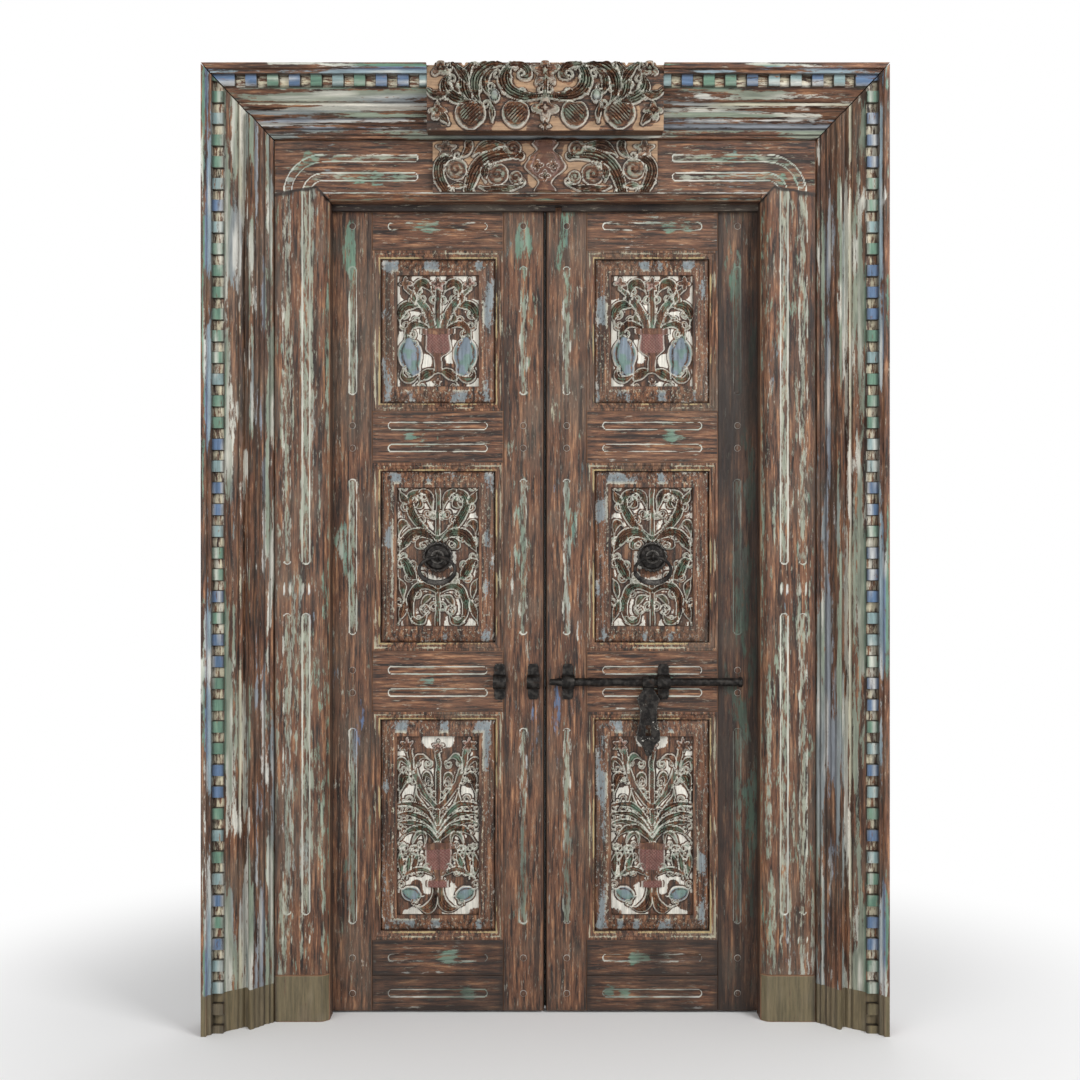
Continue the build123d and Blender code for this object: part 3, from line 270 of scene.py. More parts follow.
def add_piece(name: str, body: str, surface: Surface, finish: bpy.types.Material,
              nodes: Sequence[str], sharp: float = SHARP) -> bpy.types.Object:
    """Weld a surface's points, put it into a new object, in metres, and hang it on the frame.

    Args:
        name: the piece's name.
        body: the solid body it rides on.
        surface: its surface in millimetres.
        finish: its material.
        nodes: the solids that it stands for.
        sharp: edges bent more than this many degrees stay crisp.

    Returns:
        The new object.
    """
    welded = np.unique(np.round(surface.points, 4), axis=0, return_index=True, return_inverse=True)
    points, first, place = welded[0], welded[1], welded[2].reshape(-1)
    quads = place[surface.quads]
    fresh = quads != np.roll(quads, 1, axis=1)
    corners = fresh.sum(axis=1)
    loops = quads[corners == 4].tolist()
    loops += quads[corners == 3][fresh[corners == 3]].reshape(-1, 3).tolist()
    for ring in (place[r] for r in surface.rings):
        loops.append(ring[ring != np.roll(ring, 1)].tolist())
    mesh = bpy.data.meshes.new(name)
    mesh.from_pydata((points / 1000).tolist(), [], loops)
    mesh.validate()
    mesh.polygons.foreach_set("use_smooth", np.ones(len(mesh.polygons), dtype=bool))
    mesh.set_sharp_from_angle(angle=math.radians(sharp))
    coat = mesh.attributes.new("coat", "FLOAT_COLOR", "POINT")
    coat.data.foreach_set("color", surface.coat[first].astype(np.float32).ravel())
    # The grime_and_shade layer holds real soiling and also painted shade, laid where shade falls: board
    # edges, grooves, gaps and the carving's ground.
    for label, values in (("wear", surface.wear), ("grime_and_shade", surface.grime_and_shade)):
        layer = mesh.attributes.new(label, "FLOAT", "POINT")
        layer.data.foreach_set("value", values[first].astype(np.float32))
    mesh.materials.append(finish)
    piece = bpy.data.objects.new(name, mesh)
    bpy.context.scene.collection.objects.link(piece)
    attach(piece, body)
    if nodes:
        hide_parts(*nodes)
    LOG.info("%s: %d faces on %s", name, len(mesh.polygons), body)
    return piece


def add_handed(side: str, name: str, stuff: str, body: str, surface: Surface, finish: bpy.types.Material,
               sharp: float = SHARP) -> None:
    """Add a piece that comes in a left and a right hand, drawn as the right one.

    Args:
        side: left or right.
        name: the solid that it stands for, less its side.
        stuff: the last word of its name.
        body, surface, finish, sharp: as for any piece.
    """
    turned = surface if side == "right" else surface.mirrored()
    add_piece(f"{side}_{name}_{stuff}", body, turned, finish, [f"{side}_{name}"], sharp)


def slab(x: Array, z: Array, front: Array, back: float, paint: "Paint") -> Surface:
    """A board as a relief: a grid of X and Z with a Y at each point, closed by bare edges and a flat back.

    Args:
        x, z: the grid, as rows along Z of columns along X.
        front: the front face's Y on the grid.
        back: the back face's Y.
        paint: what lies on the front.

    Returns:
        The closed surface.
    """
    rows, columns = x.shape
    face = np.stack((x, front, z), axis=-1).reshape(-1, 3)
    index = np.arange(rows * columns).reshape(rows, columns)
    rim = np.concatenate((index[0, :-1], index[:-1, -1], index[-1, :0:-1], index[:0:-1, 0]))
    bared, rear = face[rim], face[rim]
    bared[:, 1] = np.minimum(bared[:, 1] + 2.5, (bared[:, 1] + back) / 2)
    rear[:, 1] = back
    within = np.arange(len(rim)) + len(face)
    around = within + len(rim)
    quads = [woven(rows, columns)]
    for near, far in ((rim, within), (within, around)):
        quads.append(np.stack((near, far, np.roll(far, -1), np.roll(near, -1)), axis=-1))
    coat, wear, grime_and_shade = paint.coat.reshape(-1, 4), paint.wear.ravel(), paint.grime_and_shade.ravel()
    return Surface(
        np.concatenate((face, bared, rear)),
        np.concatenate(quads),
        [around[::-1]],
        np.concatenate((coat, coat[rim] * (1, 1, 1, 0), np.zeros((len(rim), 4)))),
        np.concatenate((wear, np.full(2 * len(rim), 0.1))),
        np.concatenate((grime_and_shade, 0.2 + 0.6 * grime_and_shade[rim], np.full(len(rim), 0.55))),
    )


class Paint:
    """What lies on a relief's points: a coat's colour and cover, worn edges, and soiling together with
    painted shade.
    """

    def __init__(self, shape: tuple[int, int]) -> None:
        """Start bare, for a grid of this shape."""
        self.coat = np.zeros(shape + (4,))
        self.wear = np.zeros(shape)
        self.grime_and_shade = np.zeros(shape)

    def lay(self, coat: Coat, cover: Array) -> None:
        """Lay a coat over what is there: colours mix by its share of the cover, and the larger cover stays.

        Args:
            coat: the coat.
            cover: how much of it there is at each point, from 0 to 1.
        """
        cover = np.clip(cover, 0.0, 1.0) * np.ones(self.wear.shape)
        share = (cover / np.maximum(cover + self.coat[..., 3] * (1 - cover), 1e-6))[..., None]
        self.coat[..., :3] = self.coat[..., :3] * (1 - share) + np.array(linear(coat.value)) * share
        self.coat[..., 3] = np.maximum(self.coat[..., 3], cover)

    def take(self, other: "Paint", where: Array) -> None:
        """Take over what lies on another grid of the same shape, at these points."""
        for name in ("coat", "wear", "grime_and_shade"):
            getattr(self, name)[where] = getattr(other, name)[where]


def patch(x: Array, z: Array, middle: tuple[float, float], reach: tuple[float, float], seed: float) -> Array:
    """A ragged patch: an ellipse's falling edge, broken by soft noise.

    Args:
        x, z: the grid.
        middle: the patch's middle.
        reach: its half width and half height.
        seed: which noise breaks it.

    Returns:
        Cover from 0 to 1.
    """
    far = np.hypot((x - middle[0]) / reach[0], (z - middle[1]) / reach[1])
    return np.clip(1.15 - far + 0.9 * (mottle(x, z, 16, 60, seed) - 0.5), 0.0, 1.0)


@dataclass(frozen=True)
class Flute:
    """A shallow flute between two points, or round a quarter bend between two straight runs."""

    points: tuple[tuple[float, float], ...]
    half_width: float = 10.0

    def away(self, x: Array, z: Array) -> Array:
        """Distance outside the flute's rim: the least distance to its runs, less its half width."""
        least = np.full(np.shape(x), 1e9)
        for (ax, az), (bx, bz) in zip(self.points, self.points[1:]):
            run = max((bx - ax) ** 2 + (bz - az) ** 2, 1e-6)
            t = np.clip(((x - ax) * (bx - ax) + (z - az) * (bz - az)) / run, 0.0, 1.0)
            least = np.minimum(least, np.hypot(x - ax - t * (bx - ax), z - az - t * (bz - az)))
        return least - self.half_width

    @staticmethod
    def depth(away: Array) -> Array:
        """How deep it is cut at a distance outside its rim: a smooth fall to its full depth."""
        return FLUTE_DEPTH * smooth(-away, 0.0, 5.0)

    @staticmethod
    def line(away: Array) -> Array:
        """How much of the white line inside its rim is at a distance outside its rim."""
        return ridge(away, -1.2, 1.8)


@dataclass
class Board:
    """A flat board seen from the front, with rounded arrises and flutes."""

    x: tuple[float, float]
    z: tuple[float, float]
    front: float
    back: float
    flutes: Sequence[Flute] = ()
    seed: float = 1.0
    upright: bool = True
    cover: float = 0.16
    shaded: float = 0.0
    dirt_and_shade: float = 0.05

    def lines(self) -> tuple[Array, Array]:
        """The grid's X and Z, closer round the flutes' edges and ends."""
        ends = np.array([p for f in self.flutes for p in f.points]).reshape(-1, 2)
        across, along, reach, fine = 2.5, 12.0, 14.0, 1.6
        if self.upright:
            xs = grid_lines(*self.x, across, (), reach, fine)
            zs = grid_lines(*self.z, along, ends[:, 1], reach, fine)
        else:
            xs = grid_lines(*self.x, along, ends[:, 0], reach, fine)
            zs = grid_lines(*self.z, across, (), reach, fine)
        return np.meshgrid(xs, zs)

    def streaks(self, x: Array, z: Array, across: float, along: float, extra: float) -> Array:
        """Soft noise drawn out along the grain."""
        sizes = (across, along) if self.upright else (along, across)
        return mottle(x, z, *sizes, self.seed + extra)

    def sunk(self, x: Array, z: Array) -> tuple[Array, Paint]:
        """How far the face lies behind the board's front, and what is on it.

        The arrises fall on a quarter round of irregular size.

        Args:
            x, z: the grid.

        Returns:
            Depths in millimetres, and the paint.
        """
        paint = Paint(x.shape)
        edge = np.minimum.reduce((x - self.x[0], self.x[1] - x, z - self.z[0], self.z[1] - z))
        radius = 1.4 + 2.4 * mottle(x, z, 40, 40, self.seed + 3)
        inside = np.clip(radius - edge, 0.0, None)
        depth = radius - np.sqrt(np.clip(radius ** 2 - np.minimum(inside, radius) ** 2, 0.0, None))
        depth += 0.5 * self.streaks(x, z, 9, 90, 5)
        paint.wear += smooth(-edge, -5.0, -0.5)
        # Painted shade: the board darkens towards its edges, where it meets its neighbours.
        paint.grime_and_shade += self.shaded * smooth(-edge, -18.0, 0.0) * 0.6
        # Darkening all over by the dirt_and_shade share. On the right outer stile it is partly painted shade.
        paint.grime_and_shade += self.dirt_and_shade * (0.5 + mottle(x, z, 34, 150, self.seed + 37))
        streak = self.streaks(x, z, 14, 160, 0)
        broad = mottle(x, z, 70, 190, self.seed + 11)
        paint.lay(Coat.ASH, self.cover + 0.16 * mottle(x, z, 22, 80, self.seed + 29))
        paint.lay(Coat.GREEN, self.cover * (0.55 + 0.8 * smooth(0.5 * streak + 0.5 * broad, 0.3, 0.75)))
        paint.lay(Coat.BLUE, 1.1 * self.cover * smooth(mottle(x, z, 30, 140, self.seed + 23), 0.66, 0.9))
        paint.lay(Coat.WHITE, 0.46 * smooth(mottle(x, z, 24, 60, self.seed + 31), 0.66, 0.95))
        crumb, bed = (0.48, 0.52) if self.upright else (0.36, 0.42)
        for flute in self.flutes:
            away = flute.away(x, z)
            depth += flute.depth(away)
            near = ridge(np.clip(away, 0.0, None), 0.0, 12.0)
            paint.lay(Coat.GREEN, crumb * near * smooth(mottle(x, z, 30, 120, self.seed + 47), 0.35, 0.75))
            paint.lay(Coat.ASH, bed * smooth(-away, 1.0, 4.0))
            line = flute.line(away)
            paint.lay(Coat.WHITE, line * (0.6 + 0.3 * mottle(x, z, 25, 25, self.seed + 41)))
            paint.wear *= 1 - line
        return depth, paint

    def build(self, patches: Sequence[tuple[Coat, float, float, float, float, float]] = ()) -> Surface:
        """The board's closed surface.

        Args:
            patches: listed coats, each with its middle, its reach and its strength.

        Returns:
            The surface.
        """
        x, z = self.lines()
        depth, paint = self.sunk(x, z)
        for i, (coat, mx, mz, rx, rz, strength) in enumerate(patches):
            paint.lay(coat, strength * patch(x, z, (mx, mz), (rx, rz), self.seed + i))
        return slab(x, z, self.front + depth, self.back, paint)


class Finish:
    """The node tree of a material or of the world, with one way of adding nodes."""

    def __init__(self, owner: bpy.types.ID) -> None:
        """Take over the owner's node tree and clear it."""
        owner.use_nodes = True
        self.owner = owner
        self.tree = owner.node_tree
        self.tree.nodes.clear()

    def node(self, kind: str, links: Optional[dict[Any, Any]] = None, **settings: Any) -> bpy.types.Node:
        """Add a node with its settings, and set or link its sockets.

        Args:
            kind: the node's type, less the words that all types begin with.
            links: socket name or number to a value, an sRGB hex colour, or another node's output socket.
            settings: properties of the node itself.

        Returns:
            The node.
        """
        made = self.tree.nodes.new("ShaderNode" + kind)
        for key, value in settings.items():
            setattr(made, key, value)
        for key, value in (links or {}).items():
            if isinstance(value, bpy.types.NodeSocket):
                self.tree.links.new(value, made.inputs[key])
            else:
                made.inputs[key].default_value = (*linear(value), 1) if isinstance(value, str) else value
        return made

    def blend(self, share: Any, first: Any, second: Any, way: str = "MIX") -> bpy.types.NodeSocket:
        """Mix two colours by a share and return the mixed colour's socket."""
        links = {0: share, 6: first, 7: second}
        return self.node("Mix", links, data_type="RGBA", blend_type=way).outputs[2]

    def sums(self, way: str, first: Any, second: Any) -> bpy.types.NodeSocket:
        """Do one sum on two values and return its socket."""
        return self.node("Math", {0: first, 1: second}, operation=way).outputs[0]

    def span(self, value: Any, low: float, high: float, to_low: float = 0.0,
             to_high: float = 1.0) -> bpy.types.NodeSocket:
        """Carry a value from one range to another on a smooth curve and return its socket."""
        links = {0: value, 1: low, 2: high, 3: to_low, 4: to_high}
        return self.node("MapRange", links, interpolation_type="SMOOTHSTEP").outputs[0]

    def noise(self, place: Any, size_mm: float, detail: float, rough: float) -> bpy.types.NodeSocket:
        """Noise whose features are about this many millimetres across."""
        links = {"Vector": place, "Scale": 1000 / size_mm, "Detail": detail, "Roughness": rough}
        return self.node("TexNoise", links).outputs[0]

    def place(self) -> bpy.types.NodeSocket:
        """The piece's own coordinates."""
        return self.node("TexCoord").outputs["Object"]

    def stretched(self, scale: tuple[float, float, float]) -> bpy.types.NodeSocket:
        """The piece's own coordinates, drawn out along the grain."""
        return self.node("Mapping", {"Vector": self.place(), "Scale": scale}).outputs[0]

    def layer(self, name: str) -> bpy.types.NodeSocket:
        """A value that the piece's points carry."""
        return self.node("Attribute", attribute_name=name).outputs["Fac"]

    def coat(self) -> tuple[bpy.types.NodeSocket, bpy.types.NodeSocket]:
        """The old coats' colour, and their cover, which is none on a piece that carries no coats."""
        coat = self.node("Attribute", attribute_name="coat").outputs
        laid = self.sums("GREATER_THAN", coat["Fac"], 0.003)
        return coat["Color"], self.sums("MULTIPLY", coat["Alpha"], laid)

    def close(self, links: dict[str, Any]) -> bpy.types.Material:
        """Add the surface shader with these sockets and return the material."""
        shader = self.node("BsdfPrincipled", links)
        self.node("OutputMaterial", {"Surface": shader.outputs[0]})
        return self.owner


@dataclass(frozen=True)
class PaintedTeak:
    """Old teak, planed by hand and painted many times, the coats rubbed and flaked off.

    It gives the eye red-brown streaks along the grain, thin dark pores, ragged islands of chalky paint with
    an edge that catches light, pale rubbed arrises, and dull soiling with painted shade in quirks, grooves
    and gaps.
    """

    name: str
    grain: Grain
    dark: str = "#20140e"
    middle: str = "#69442f"
    light: str = "#a87b58"
    flake_mm: float = 7.5
    drawn: float = 0.17
    weathered: float = 0.5
    grey: str = "#675c4f"
    vein: str = "#1c120d"
    pore: str = "#23140f"
    chalk: str = "#b9b2a0"
    rubbed: str = "#946a4e"
    dirt_and_shade: str = "#1f1611"

    def make(self) -> bpy.types.Material:
        """Build the material: streaks 7 mm wide, pores drawn 2.5 mm wide to show, flakes as sized."""
        f = Finish(bpy.data.materials.new(self.name))
        along = f.stretched(self.grain.value)
        loose = f.stretched(tuple(self.drawn if s < 1 else 1.0 for s in self.grain.value))
        streaks = f.noise(along, 7.0, 8.0, 0.72)
        broad = f.noise(f.place(), 170.0, 3.0, 0.6)
        veins = f.noise(along, 21.0, 6.0, 0.7)
        pores = f.noise(along, 2.5, 3.0, 0.7)
        flakes = f.noise(loose, self.flake_mm, 9.0, 0.74)
        dust = f.noise(loose, 4.5, 6.0, 0.75)
        wood = f.blend(f.span(streaks, 0.39, 0.52), self.dark, self.middle)
        wood = f.blend(f.span(streaks, 0.52, 0.66), wood, self.light)
        wood = f.blend(f.span(broad, 0.42, 0.7, 0.0, self.weathered), wood, self.grey)
        wood = f.blend(f.span(veins, 0.5, 0.64, 0.0, 0.75), wood, self.vein)
        wood = f.blend(f.span(pores, 0.56, 0.72, 0.0, 0.55), wood, self.pore)
        chalk = f.sums("MULTIPLY", f.span(flakes, 0.48, 0.62), f.span(dust, 0.52, 0.64))
        wood = f.blend(f.sums("MULTIPLY", chalk, 0.7), wood, self.chalk)
        coat, laid = f.coat()
        ragged = f.sums("ADD", f.sums("MULTIPLY", flakes, 0.72), f.sums("MULTIPLY", dust, 0.28))
        cover = f.span(f.sums("SUBTRACT", f.sums("ADD", ragged, laid), 1.0), -0.02, 0.05)
        shade = f.span(streaks, 0.3, 0.7, 0.6, 1.15)
        shades = f.node("CombineColor", {0: shade, 1: shade, 2: shade}).outputs[0]
        colour = f.blend(f.sums("MULTIPLY", cover, 0.92), wood, f.blend(1.0, coat, shades, "MULTIPLY"))
        rubbed = f.span(f.sums("ADD", f.layer("wear"), flakes), 1.05, 1.5)
        colour = f.blend(f.sums("MULTIPLY", rubbed, 0.65), colour, self.rubbed)
        # The points' layer, with dust, darkens wood and coats: real soiling, and painted shade laid in
        # grooves, gaps and the carving's ground.
        dirt_and_shade = f.sums("ADD", f.layer("grime_and_shade"), f.sums("MULTIPLY", dust, 0.6))
        colour = f.blend(f.span(dirt_and_shade, 0.3, 1.15, 0.0, 0.9), colour, self.dirt_and_shade)
        height = f.sums("ADD", f.sums("MULTIPLY", streaks, 0.5), f.sums("MULTIPLY", cover, 0.3))
        height = f.sums("SUBTRACT", height, f.sums("MULTIPLY", f.span(pores, 0.56, 0.72), 0.3))
        bump = f.node("Bump", {"Strength": 0.55, "Distance": 0.0012, "Height": height})
        rough = f.span(flakes, 0.3, 0.7, 0.5, 0.78)
        return f.close({"Base Color": colour, "Roughness": rough, "Normal": bump.outputs[0], "IOR": 1.5})


@dataclass(frozen=True)
class ForgedIron:
    """Wrought iron, hammered black, rubbed bright where hands and the bolt pass, rusty in the hollows."""

    name: str
    dark: str = "#1d1b1a"
    light: str = "#3c3936"
    rust: str = "#3d2a20"
    bright: str = "#7b7772"

    def make(self) -> bpy.types.Material:
        """Build the material: hammer marks 11 mm across, rust and specks a few millimetres."""
        f = Finish(bpy.data.materials.new(self.name))
        marks = f.noise(f.place(), 11.0, 2.0, 0.5)
        rust = f.noise(f.place(), 17.0, 6.0, 0.7)
        specks = f.noise(f.place(), 4.0, 4.0, 0.7)
        colour = f.blend(f.span(marks, 0.4, 0.66), self.dark, self.light)
        colour = f.blend(f.span(rust, 0.54, 0.72, 0.0, 0.6), colour, self.rust)
        bright = f.span(f.sums("ADD", f.layer("wear"), specks), 1.1, 1.5)
        colour = f.blend(f.sums("MULTIPLY", bright, 0.6), colour, self.bright)
        coat, laid = f.coat()
        flecks = f.span(f.sums("SUBTRACT", f.sums("ADD", specks, laid), 1.0), -0.02, 0.06)
        colour = f.blend(flecks, colour, coat)
        height = f.sums("ADD", marks, f.sums("MULTIPLY", specks, 0.3))
        bump = f.node("Bump", {"Strength": 0.5, "Distance": 0.0015, "Height": height})
        rough = f.span(rust, 0.35, 0.7, 0.38, 0.66)
        links = {"Base Color": colour, "Roughness": rough, "Metallic": 0.75, "Normal": bump.outputs[0]}
        return f.close(links)


class Finishes:
    """Every material of the door, made once."""

    def __init__(self) -> None:
        """Make the materials."""
        self.upright = PaintedTeak("painted_teak_upright", Grain.UPRIGHT).make()
        self.level = PaintedTeak("painted_teak_level", Grain.LEVEL, weathered=0.15).make()
        # Near-black wood for the head stop: painted shadow under the lintel.
        self.shaded = PaintedTeak("shadowed_teak", Grain.LEVEL, "#120b08", "#251812", "#3a281e").make()
        cut = {"flake_mm": 5.0, "drawn": 0.6, "weathered": 0.3}
        self.carved = PaintedTeak("carved_painted_teak", Grain.UPRIGHT, **cut).make()
        self.carved_level = PaintedTeak("carved_painted_teak_level", Grain.LEVEL, **cut).make()
        self.iron = ForgedIron("forged_iron").make()


def bezier(controls: Sequence[tuple[float, float]], t: Array) -> Array:
    """Points of a Bezier curve: its control points halved together again and again."""
    points = [np.array(a) for a in controls]
    while len(points) > 1:
        points = [p * (1 - t)[:, None] + q * t[:, None] for p, q in zip(points, points[1:])]
    return points[0]


def eased(place: Array, knots: Sequence[float], values: Sequence[float]) -> Array:
    """Values at places between knots, eased smoothly from one knot's value to the next's."""
    at, value = np.asarray(knots, float), np.asarray(values, float)
    k = np.clip(np.searchsorted(at, place, side="right") - 1, 0, len(at) - 2)
    share = smooth((place - at[k]) / (at[k + 1] - at[k]), 0.0, 1.0)
    return value[k] * (1 - share) + value[k + 1] * share


@dataclass
class Relief:
    """A field being carved: its grid, how high it stands, the form on top, its cut edges and grooves, and
    painted shade beside its forms.
    """

    side: Array
    up: Array
    high: Array
    kind: Array
    rim: Array
    groove: Array
    shade: Array

    @staticmethod
    def level(side: Array, up: Array) -> "Relief":
        """Start with bare ground on this grid."""
        bare = np.zeros(side.shape)
        return Relief(side, up, bare, np.full(side.shape, -1), bare.copy(), bare.copy(), bare.copy())

    def keep(self, near: Array, rise: Array, far: Array, reach: Array, motif: Motif, vein: Array) -> None:
        """Let a form win where it is the highest, and note its cut edge, its grooves and the painted shade
        just outside it.

        Args:
            near: which of the grid's points the form may touch.
            rise: its height there.
            far: distance from its middle there, in half widths.
            reach: its half width there, in millimetres.
            motif: what it is.
            vein: how deep its grooves are there.
        """
        inside = far < 0.97
        wins = inside & ((rise > self.high[near]) | (far < 0.6))
        self.high[near] = np.where(wins, rise, self.high[near])
        self.kind[near] = np.where(wins, list(Motif).index(motif), self.kind[near])
        self.groove[near] = np.where(wins, vein, self.groove[near])
        # Painted shade: a dark line on the ground a couple of millimetres outside each form.
        shade_line = ridge((far - 1.0) * reach, 2.4, 1.6) * ~inside
        self.shade[near] = np.where(wins, 0.0, np.maximum(self.shade[near], shade_line))
        edge = ridge((far - 0.95) * reach, 0.0, 1.5)
        kept = np.where(inside, self.rim[near], np.maximum(self.rim[near], edge))
        self.rim[near] = np.where(wins, edge, kept)

    def of(self, motif: Motif) -> Array:
        """Where this motif is on top."""
        return self.kind == list(Motif).index(motif)


@dataclass
class Field:
    """A carved field: strokes with scrolls, flowers and a pot on a sunk ground, the same to both sides."""

    half: float
    height: float
    strokes: Sequence[tuple[Motif, Sequence[tuple[float, float]], Sequence[float]]]
    flowers: Sequence[tuple[float, float, float, int]]
    pot: Sequence[tuple[float, float]]
    seed: float
    boldness: float
    curl: float
    leaves: int
    pale: float
    ground: Coat = Coat.WHITE
    chalk: float = 0.0

    def carve(self, x: Array, z: Array, paint: Paint) -> Array:
        """Work out the relief on a grid, and paint it.

        Each stroke rises as a power of one less the square of the distance from its line, in half widths,
        scored by grooves along it; a flower's edge swells once a petal; the highest form wins.

        Args:
            x, z: places from the middle of the field's foot.
            paint: what is on the grid, added to here.

        Returns:
            Heights from 0, the ground, to 1.
        """
        warp = 0.006 * self.height
        side = np.abs(x + warp * (mottle(x, z, 24, 24, self.seed) - 0.5) * 2)
        up = z + warp * (mottle(x, z, 24, 24, self.seed + 7) - 0.5) * 2
        relief = Relief.level(side, up)
        t = np.linspace(0.0, 1.0, 40)
        size = np.array((self.half, self.height))
        lines = [bezier(np.array(controls) * size, t) for _, controls, _ in self.strokes]
        for (motif, _, _), line in zip(self.strokes, lines):
            for scroll in self.curls(line, motif):
                self.stroke(relief, Motif.LEAF, scroll, np.linspace(0.36, 0.22, len(scroll)) * self.curl, 0.8)
        for (motif, _, widths), line in zip(self.strokes, lines):
            bold = 1.0 if motif is Motif.TEAR else self.boldness
            reach = bold * eased(t, np.linspace(0, 1, len(widths)), widths) * self.half / 2
            self.stroke(relief, motif, line, np.maximum(reach, 1.6), 1.0)
        if self.pot:
            self.vessel(relief, paint)
        for u, v, radius, petals in self.flowers:
            self.flower(relief, u, v, radius, petals)
        self.colour(x, z, relief, paint)
        return relief.high

    def colour(self, x: Array, z: Array, relief: Relief, paint: Paint) -> None:
        """Paint the carving: old coats on its tops, white left along its edges, pale places on its ground,
        and painted shade in its grooves and on its ground.
        """
        ground = 1 - smooth(relief.high, 0.0, 0.3)
        pale = self.pale * smooth(mottle(x, z, 26, 32, self.seed + 13), 0.25, 0.65)
        for motif in Motif:
            cover = 0.62 if motif is Motif.TEAR else 0.36 + 0.3 * mottle(x, z, 14, 14, self.seed + 19)
            paint.lay(motif.value[0], np.where(relief.of(motif), cover, 0.0))
        leafy = (1 - ground) * ~relief.of(Motif.POT)
        paint.lay(Coat.GREEN, 0.52 * leafy * smooth(mottle(x, z, 14, 14, self.seed + 23), 0.42, 0.74))
        # Painted shade in the grooves: coats are thinned there, and darkened below.
        paint.coat[..., 3] *= 1 - 0.25 * relief.groove
        paint.lay(Coat.PINK, 0.8 * relief.groove * relief.of(Motif.POT))
        paint.lay(Coat.ASH, self.chalk * leafy * (1 - relief.groove))
        paint.lay(self.ground, 0.8 * ground * pale)
        paint.lay(Coat.WHITE, relief.rim * (0.74 + 0.26 * mottle(x, z, 9, 9, self.seed + 29)))
        # Painted shade on the ground: coats are taken off beside the forms, and the ground is darkened where
        # it is not pale, most beside the forms. The grooves are darkened too.
        paint.coat[..., 3] *= 1 - 0.6 * relief.shade * ground
        low = (0.34 * (1 - pale) + 0.5 * relief.shade) * ground * (1 - relief.rim)
        paint.grime_and_shade += 0.36 * relief.groove + low
        paint.wear += 0.4 * smooth(relief.high, 0.8, 1.0)

    def curls(self, line: Array, motif: Motif) -> list[Array]:
        """Scrolls leaving a stroke: each sets off along it and turns ever tighter, about once round.

        Args:
            line: the stroke's points in millimetres.
            motif: what it is; stems and plumes have scrolls down both sides, the rest one at the tip.

        Returns:
            Each scroll's points.
        """
        way = np.gradient(line, axis=0)
        heading = np.unwrap(np.arctan2(way[:, 1], way[:, 0]))
        last = len(line) - 1
        bend = 1.0 if heading[last] > heading[last // 2] else -1.0
        places = [] if motif is Motif.STEM else [(last, bend, 0.1)]
        if motif in (Motif.STEM, Motif.PLUME):
            shares = np.linspace(0.3, 0.8, self.leaves)
            places += [(int(s * last), -1.0 if i % 2 else 1.0, 0.7) for i, s in enumerate(shares)]
        turn = np.linspace(0.0, 6.4, 26)
        step = np.linspace(0.27, 0.11, 26)[:, None] * self.curl
        angles = [heading[at] + hand * (lean + turn) for at, hand, lean in places]
        runs = [np.cumsum(np.stack((np.cos(a), np.sin(a)), 1) * step, axis=0) for a in angles]
        return [line[at] + run for (at, _, _), run in zip(places, runs)]

    def stroke(self, relief: Relief, motif: Motif, line: Array, reach: Array, top: float) -> None:
        """Raise one stroke by the least distance, in half widths, to points along its line, and groove it.

        Args:
            relief: the field so far.
            motif: what the stroke is.
            line: its points in millimetres.
            reach: its half width at each.
            top: how high it stands.
        """
        span = reach.max() + 2
        near = (relief.side > line[:, 0].min() - span) & (relief.side < line[:, 0].max() + span)
        near &= (relief.up > line[:, 1].min() - span) & (relief.up < line[:, 1].max() + span)
        if not near.any():
            return
        far = np.hypot(relief.side[near][:, None] - line[:, 0], relief.up[near][:, None] - line[:, 1]) / reach
        best = far.argmin(axis=1)
        far, wide = far[np.arange(len(best)), best], reach[best]
        broad = smooth(wide, 7.0, 9.5)
        pair = ridge(far, 0.24, 0.1) + ridge(far, 0.6, 0.1)
        if motif is Motif.TEAR:
            pair = ridge(far, 0.66, 0.1)
        vein = (broad * pair + (1 - broad) * ridge(far, 0.42, 0.15)) * smooth(wide, 3.4, 5.0)
        rise = top * np.clip(1 - far ** 2, 0.0, 1.0) ** 0.42 * (1 - motif.value[1] * np.clip(vein, 0, 1))
        relief.keep(near, rise, far, wide, motif, np.clip(vein, 0, 1))

    def flower(self, relief: Relief, u: float, v: float, radius: float, petals: int) -> None:
        """Raise a flower, a whorl or a scored heart by the distance from its middle over its rim.

        Args:
            relief: the field so far.
            u, v: its middle, as shares of the field.
            radius: its size, as a share of the half width.
            petals: how many petals, or 0 for a whorl, or -1 for a scored heart.
        """
        across, over = relief.side - u * self.half, relief.up - v * self.height
        turn = np.arctan2(across, over)
        if petals > 0:
            swell = 0.76 + 0.24 * np.cos(petals * turn)
        else:
            dent = 0.2 * ridge(turn, 0.0, 0.4) - 0.1 * ridge(np.abs(turn), np.pi, 0.5)
            swell = 1 + petals * dent
        edge = radius * self.half * swell
        far = np.hypot(across, over) / edge
        if petals > 0:
            cuts = ridge(far, 0.33, 0.12)
        elif petals == 0:
            cuts = (0.5 + 0.5 * np.cos(turn + 11 * far)) ** 3
        else:
            scores = np.abs(np.cos((across + over) * 0.36)) ** 6
            cuts = np.maximum(ridge(far, 0.74, 0.07), (far < 0.66) * scores)
        near = far < 1.4
        rise = np.clip(1 - far ** 2, 0.0, 1.0) ** 0.4 * (1 - 0.45 * cuts)
        motif = Motif.BLOOM if petals > 0 else Motif.FRUIT
        relief.keep(near, rise[near], far[near], edge[near], motif, cuts[near])

